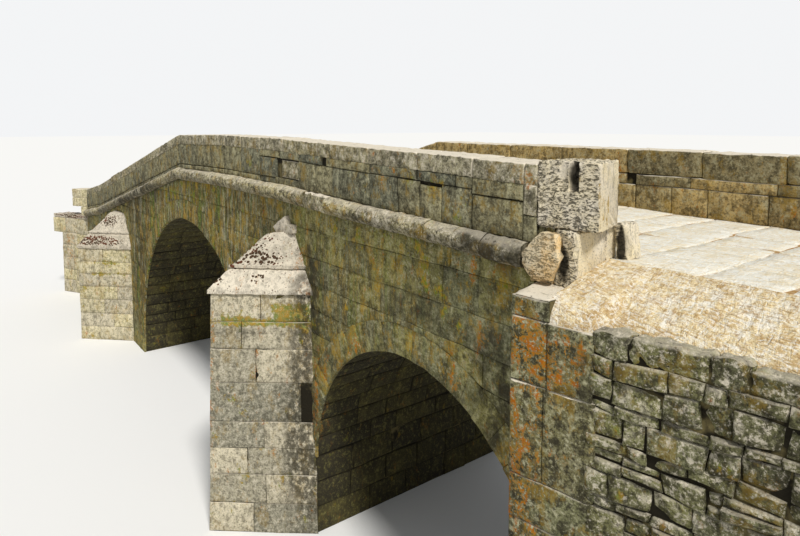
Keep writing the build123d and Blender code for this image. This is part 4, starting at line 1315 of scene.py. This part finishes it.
class BRIDGE_OT_near_wing(bpy.types.Operator):
    """Lays the squared corner stones of the near wing wall, and the rough stones beside them"""

    bl_idname = "bridge.near_wing"
    bl_label = "Near Wing Wall"

    quoin_heights = (0, 0.62, 1.25, 1.9, 2.5, 3.03, 3.47, 4.39, 5.01)
    # How far the corner stones reach over their usual length, and the joints of the courses that have two stones
    quoin_reaches, quoin_joints = (0.05, 0.02, 0.09), {6: [0.32], 7: [0.36]}
    quoin_length, step, step_top, wing_top = 0.77, 0.36, 5.2, 4.98
    left_end_top, right_end_top = 3.18, 5.3

    def rubble(self, stones, panel, low, high, start, end, row=0.3, length=0.5):
        """Rough courses: some stones are split in two, and every corner is moved together with its neighbours'."""
        found = []
        for a, b in pairs(cuts(low, high, row, stones.rng, 0.3)):
            for cell in boxes(a, b, cuts(start, end, length, stones.rng, 0.34)):
                (x0, z0), (x1, _), (_, z1), _ = cell
                if stones.rng.random() < 0.2 and z1 - z0 > 0.17:
                    middle = z0 + (z1 - z0) * stones.rng.uniform(0.35, 0.65)
                    found += boxes(z0, middle, [x0, x1]) + boxes(middle, z1, [x0, x1])
                else:
                    found.append(cell)
        stones.panels(found, panel, joint=0.008, arris=0.018, sink=0.03, lift=0.014, tilt=0.03, bulge=0.012,
                      rough=0.01, wobble=0.01, chip=0.018, warp=0.024, warp_size=0.4)

    def execute(self, context):
        look = face_options(joint=0.006, arris=0.016, grid=(9, 7), rough=0.005, chip=0.01)
        stones = Stones(801)
        start, stop = wing_point(0), wing_point(self.quoin_length)
        top = self.step_top
        place, width = standing(start, stop, 0, top)
        levels = (*self.quoin_heights, top)
        cells = []
        for k, (low, high) in enumerate(pairs(self.quoin_heights)):
            cells += boxes(low, high, [-0.03, *self.quoin_joints.get(k, []), width + self.quoin_reaches[k % 3]])
        cells += boxes(*levels[-2:], [-0.03, self.step + 0.01])
        stones.panels(cells, place, **look)
        corner = (PARAPET_END, -HALF)
        place, width = standing(corner, start, 0, top)
        stones.panels([cell for low, high in pairs(levels) for cell in boxes(low, high, [0, width])], place, **look)
        beyond = wing_point(self.step)
        place, width, depth = leaning((*corner, top), (*start, top), (*beyond, top), (beyond[0], -INNER, top))
        stones.panels(boxes(0, depth, [0, width + 0.02]), place, **{**look, "proud": 0.012})
        stones.write("near_wing_quoin_stones", "quoin_finish", "ashlar")

        stones = Stones(811)
        top = self.wing_top
        place, width = standing(stop, wing_point(WING_LENGTH), 0, top)
        self.rubble(stones, place, 0, top - 0.14, -0.02, width, 0.17, 0.3)
        found = []
        for a, b in pairs(cuts(self.quoin_length, WING_LENGTH - 0.02, 0.4, stones.rng, 0.3)):
            high = top + stones.rng.uniform(0.02, 0.09)
            front, depth = stones.rng.uniform(-0.04, 0.0), stones.rng.uniform(0.24, 0.34)
            found.append(box_ends([(x, y + front, y + depth, top - 0.15, high)
                                   for x, y in (wing_point(a + 0.008), wing_point(b - 0.008))]))
        stones.blocks(found, arris=0.034, rough=0.016, size=0.16, steps=9, sides=6)
        stones.write("near_wing_rubble_stones", "rubble_finish", "rubble")

        stones = Stones(821)
        place, width = standing((RIGHT_END, -INNER), (RIGHT_END, HALF), 0, 3.6)
        self.rubble(stones, place, 0, self.right_end_top, 0, width)
        self.rubble(stones, place, 0, top, -0.45, 0, length=0.45)
        place, width = standing((LEFT_END, HALF), (LEFT_END, -HALF), 0, 3.2)
        self.rubble(stones, place, 0, self.left_end_top, 0.5, width - 0.5)
        stones.write("road_end_rubble_stones", "rubble_finish", "rubble")
        return {"FINISHED"}


class BRIDGE_OT_end_stones(bpy.types.Operator):
    """Sets the stones at the near end of the parapet: the picked block, the stones under it and the guard stone"""

    bl_idname = "bridge.end_stones"
    bl_label = "End Stones"

    # Sunk channels of the picked block: ranges along the road and up, and depth
    channels = (((5.96, 6.065), (6.17, 6.5), 0.09), ((5.85, 5.94), (6.17, 6.5), 0.014))
    soft_edge = 0.014
    # Outlines of the string course's end stone, as distance along the road and height: at its tail and at its face
    tail = ((5.47, 5.36), (5.5, 5.56), (5.6, 5.68), (5.72, 5.7), (5.79, 5.69), (5.795, 5.4), (5.79, 5.22),
            (5.56, 5.22))
    front = ((5.53, 5.39), (5.52, 5.52), (5.63, 5.645), (5.745, 5.75), (5.93, 5.76), (5.965, 5.49), (5.865, 5.295),
             (5.66, 5.255))
    # How far the guard stone leans, stands nearer than its solid, and is worn down
    lean, nearer, worn = 0.05, 0.045, 0.05

    def block(self, name, seed, start, end, bottom, top, finish, replaced=(), lean=0.0, **look):
        """One block. Its ends are given as a distance along the road for each width."""
        stones = Stones(seed)
        corners = []
        for near, far in (start, end):
            corners += [(*near, bottom), (*far, bottom)]
            corners += [(far[0] + lean, far[1], top), (near[0] + lean, near[1], top)]
        stones.blocks([corners], **look)
        stones.write(name, finish, "end_stone", *replaced)

    def carved(self, points):
        """Sinks the near face inside the channels. The share rises from 0 to 1 over a soft edge."""
        moved = points.copy()
        for along, up, depth in self.channels:
            share = np.ones(points.shape[:-1])
            for axis, (low, high) in ((0, along), (2, up)):
                share *= np.clip((points[..., axis] - low) / self.soft_edge, 0, 1)
                share *= np.clip((high - points[..., axis]) / self.soft_edge, 0, 1)
            moved[..., 1] += depth * share * (points[..., 1] < -HALF + 0.07)
        return moved

    def execute(self, context):
        def straight(x, near, far):
            return (x, near), (x, far)

        self.block("near_end_block_stone", 901, straight(5.605, -2.25, -1.685), ((6.29, -2.195), (6.12, -1.635)),
                   5.795, 6.45, "picked_finish", ["near_end_block"], arris=0.016, rough=0.007, size=0.06, steps=46,
                   sides=24, carve=self.carved)
        self.block("near_lower_end_block_stone", 911, straight(5.8, -2.235, -1.74), straight(6.075, -2.235, -1.74),
                   5.205, 5.785, "picked_finish", ["near_lower_end_block"], arris=0.035, rough=0.01, size=0.07,
                   steps=18, sides=18)
        self.block("near_lower_block_tail", 912, straight(5.82, -1.76, -1.575), straight(6.075, -1.76, -1.575),
                   5.45, 5.785, "picked_finish", arris=0.02, rough=0.008, size=0.1, steps=6, sides=5)
        self.block("near_parapet_packing_stone", 915, straight(5.57, -2.22, -1.78), straight(5.8, -2.22, -1.78),
                   5.69, 5.792, "quoin_finish", arris=0.015, rough=0.006, size=0.1, steps=6, sides=5)
        stones = Stones(921)
        low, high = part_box("near_string_end_stone")
        tail, front = np.array(self.tail), np.array(self.front)
        sections = []
        for y, share, size in (
                (high.y, 0, 1), (-HALF - 0.012, 0, 1), (-HALF - 0.02, 0.5, 1), (-HALF - 0.05, 0.95, 1),
                (low.y + 0.06, 1, 1), (low.y + 0.012, 1, 1), (low.y + 0.004, 1, 0.93)):
            ring = tail * (1 - share) + front * share
            ring = subdivided(ring.mean(0) + (ring - ring.mean(0)) * size, (0, 0.2, 0.4, 0.6, 0.8))
            sections.append(xyz(ring[:, 0], y, ring[:, 1]))
        stones.bars([sections], rough=0.011, size=0.06)
        stones.write("near_string_end_stone_stone", "beige_finish", "string_stone", "near_string_end_stone")
        low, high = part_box("near_guard_stone")
        widths = (low.y - self.nearer, high.y - self.nearer)
        self.block("near_guard_stone_stone", 931, straight(low.x + self.lean, *widths), straight(high.x, *widths),
                   low.z, high.z - self.worn, "picked_finish", ["near_guard_stone"], lean=-self.lean, arris=0.022,
                   rough=0.007, size=0.12, steps=8, sides=8)
        return {"FINISHED"}


class BRIDGE_OT_road(bpy.types.Operator):
    """Lays the worn road slabs and the stony verge"""

    bl_idname = "bridge.road"
    bl_label = "Road And Verge"

    toe, toe_height, road_edge, lump = 0.13, 5.0, 5.455, 0.013
    verge_start, corner_end = 0.31, 0.85
    lump_sizes = ((0.45, 1, 962), (0.17, 0.6, 963), (0.07, 0.45, 964))

    def verge(self, s, t, h):
        """Rises from the wing wall's top to the road's edge in a bowed line, with lumps of three sizes.

        Beside the corner stone it starts at the wall's face with a steep lip; further on it starts
        behind the rough stones.
        """
        x, front = wing_point(s)
        share = np.clip(t, 0, 1)
        over_corner = np.clip((self.corner_end - s) / 0.12, 0, 1)
        toe = self.toe * (1 - over_corner)
        y = front + toe + (0.02 - INNER - front - toe) * share
        flat = xyz(x, y, self.toe_height + (self.road_edge - self.toe_height) * share ** 0.8)
        lumps = self.lump * sum(part * ripple(flat, size, seed) for size, part, seed in self.lump_sizes)
        lip = np.clip(share / 0.09, 0, 1) ** 0.5 * np.clip(1 - share, 0, 1)
        beside = np.clip(1 - (s - self.verge_start) / 0.6, 0, 1)
        lumps = lumps * np.sin(np.pi * np.clip(t * 0.9 + 0.1, 0, 1))
        flat[..., 2] += h + lumps + lip * (0.03 * over_corner + 0.11 * beside)
        return flat

    def execute(self, context):
        stones = Stones(951)
        cells = []
        for a, b in pairs(cuts(LEFT_END, RIGHT_END, sizes().slab, stones.rng, 0.15)):
            cells += [[(a, c), (b, c), (b, d), (a, d)] for c, d in pairs(cuts(-INNER, INNER, 0.6, stones.rng, 0.3))]
        cells = np.array(cells)
        loose = stones.rng.normal(0, 0.02, cells.shape)
        x, y = cells[..., 0], cells[..., 1]
        loose[(x < LEFT_END + 0.01) | (x > RIGHT_END - 0.01), 0] = 0
        loose[np.abs(np.abs(y) - INNER) < 0.01, 1] = 0
        stones.panels(cells + loose, lambda s, t, h: xyz(s, t, near_crest(s) - ROAD_DROP + h), joint=0.02,
                      arris=0.012, proud=0.012, lift=0.003, tilt=0.003, bulge=0.003, rough=0.005, wobble=0.02,
                      chip=0.012, grid=(6, 6), warp=0.02)
        stones.write("road_slabs", "road_finish", "road_stone")
        stones = Stones(961)
        stones.panels(boxes(0, 1, (self.verge_start, WING_LENGTH)), self.verge, joint=0, arris=0.01, proud=0.016,
                      sink=0.1, lift=0, tilt=0, bulge=0, rough=0, wobble=0, chip=0, grid=(190, 46))
        stones.write("near_verge_earth", "verge_finish", "rubble")
        return {"FINISHED"}


class BRIDGE_OT_cores(bpy.types.Operator):
    """Gives the solids behind the stones the dark finish of open joints"""

    bl_idname = "bridge.cores"
    bl_label = "Joints"

    special = (("road_paving", "road_earth"), ("verge_packing", "verge_finish"), ("barrel", "soffit_mortar"),
               ("spandrel", "wall_mortar"))

    def execute(self, context):
        for name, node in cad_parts.items():
            material = finishes()[next((finish for part, finish in self.special if part in name), "joint_mortar")]
            if not node.material_slots:
                node.data.materials.append(material)
            for slot in node.material_slots:
                slot.material = material
        return {"FINISHED"}


class BRIDGE_OT_stage(bpy.types.Operator):
    """Makes the pale floor, the soft light and the camera"""

    bl_idname = "bridge.stage"
    bl_label = "Stage"

    floor_half, floor_drop, floor_colour = 400.0, 0.002, (0.86, 0.86, 0.85, 1)
    # The sky as light on the stones, and as the camera sees it: colour and strength
    lit, seen = ((0.93, 0.96, 1, 1), 0.38), ((0.9, 0.91, 0.92, 1), 1)
    sun_strength, sun_width, sun_colour, to_sun = 3.0, 10, (1, 0.975, 0.93), np.array([0.6, -0.17, 0.78])
    eye, down, turn, shift, clip_end = (9.608, -7.059, 6.802), 4.41, 37.48, -0.12, 1000

    def execute(self, context):
        def linked(name, data):
            item = bpy.data.objects.new(name, data)
            scene.collection.objects.link(item)
            return item

        scene = context.scene
        scene.view_settings.view_transform = "Standard"
        half, floor_mesh = self.floor_half, bpy.data.meshes.new("floor")
        corners = [(x * half, y * half, -self.floor_drop) for x, y in ((-1, -1), (1, -1), (1, 1), (-1, 1))]
        floor_mesh.from_pydata(corners, [], [(0, 1, 2, 3)])
        material = bpy.data.materials.new("pale_floor")
        material.use_nodes = True
        shader = material.node_tree.nodes["Principled BSDF"].inputs
        for key, value in (("Base Color", self.floor_colour), ("Roughness", 1), ("Specular IOR Level", 0)):
            shader[key].default_value = value
        floor_mesh.materials.append(material)
        floor = linked("floor", floor_mesh)

        world = bpy.data.worlds.new("soft_light")
        scene.world = world
        world.use_nodes = True
        tree = world.node_tree
        tree.nodes.clear()
        path, chosen, output = (
            tree.nodes.new("ShaderNode" + kind) for kind in ("LightPath", "MixShader", "OutputWorld"))
        tree.links.new(path.outputs["Is Camera Ray"], chosen.inputs[0])
        for number, (colour, strength) in enumerate((self.lit, self.seen)):
            sky = tree.nodes.new("ShaderNodeBackground")
            sky.inputs["Color"].default_value = colour
            sky.inputs["Strength"].default_value = strength
            tree.links.new(sky.outputs[0], chosen.inputs[number + 1])
        tree.links.new(chosen.outputs[0], output.inputs["Surface"])

        lamp = bpy.data.lights.new("key_light", "SUN")
        lamp.energy = self.sun_strength
        lamp.angle = math.radians(self.sun_width)
        lamp.color = self.sun_colour
        x, y, z = self.to_sun
        pitch = math.acos(z / np.linalg.norm(self.to_sun))
        linked("key_light", lamp).rotation_euler = (pitch, 0, math.atan2(x, -y))

        lens = bpy.data.cameras.new("camera")
        lens.sensor_width = 36
        lens.lens = sizes().camera_lens
        lens.shift_y = self.shift
        lens.clip_end = self.clip_end
        camera = linked("camera", lens)
        camera.location = self.eye
        camera.rotation_euler = (math.radians(90 - self.down), 0, math.radians(90 - self.turn))
        scene.camera = camera
        return {"FINISHED"}


class BRIDGE_PT_masonry(bpy.types.Panel):
    """Lists the bridge's pieces, sizes and colours"""

    bl_idname = "BRIDGE_PT_masonry"
    bl_label = "Bridge Masonry"
    bl_space_type = "VIEW_3D"
    bl_region_type = "UI"
    bl_category = "Bridge"

    def draw(self, context):
        column = self.layout.column(align=True)
        for operator in OPERATORS:
            column.operator(operator.bl_idname)
        for group in (sizes(), colours()):
            box = self.layout.box()
            for name in group.__annotations__:
                box.prop(group, name)


OPERATORS = (
    BRIDGE_OT_cores, BRIDGE_OT_side_walls, BRIDGE_OT_arch_rings, BRIDGE_OT_soffits, BRIDGE_OT_parapets,
    BRIDGE_OT_copings, BRIDGE_OT_string_courses, BRIDGE_OT_cutwaters, BRIDGE_OT_buttresses, BRIDGE_OT_left_wings,
    BRIDGE_OT_near_wing, BRIDGE_OT_end_stones, BRIDGE_OT_road, BRIDGE_OT_stage,
)
CLASSES = (BridgeSizes, BridgeColours, *OPERATORS, BRIDGE_PT_masonry)


def register():
    for item in CLASSES:
        bpy.utils.register_class(item)
    bpy.types.Scene.bridge_sizes = bpy.props.PointerProperty(type=BridgeSizes)
    bpy.types.Scene.bridge_colours = bpy.props.PointerProperty(type=BridgeColours)


def unregister():
    del bpy.types.Scene.bridge_colours
    del bpy.types.Scene.bridge_sizes
    for item in reversed(CLASSES):
        bpy.utils.unregister_class(item)


def main():
    register()
    for operator in OPERATORS:
        group, name = operator.bl_idname.split(".")
        getattr(getattr(bpy.ops, group), name)()


if __name__ == "__main__":
    main()
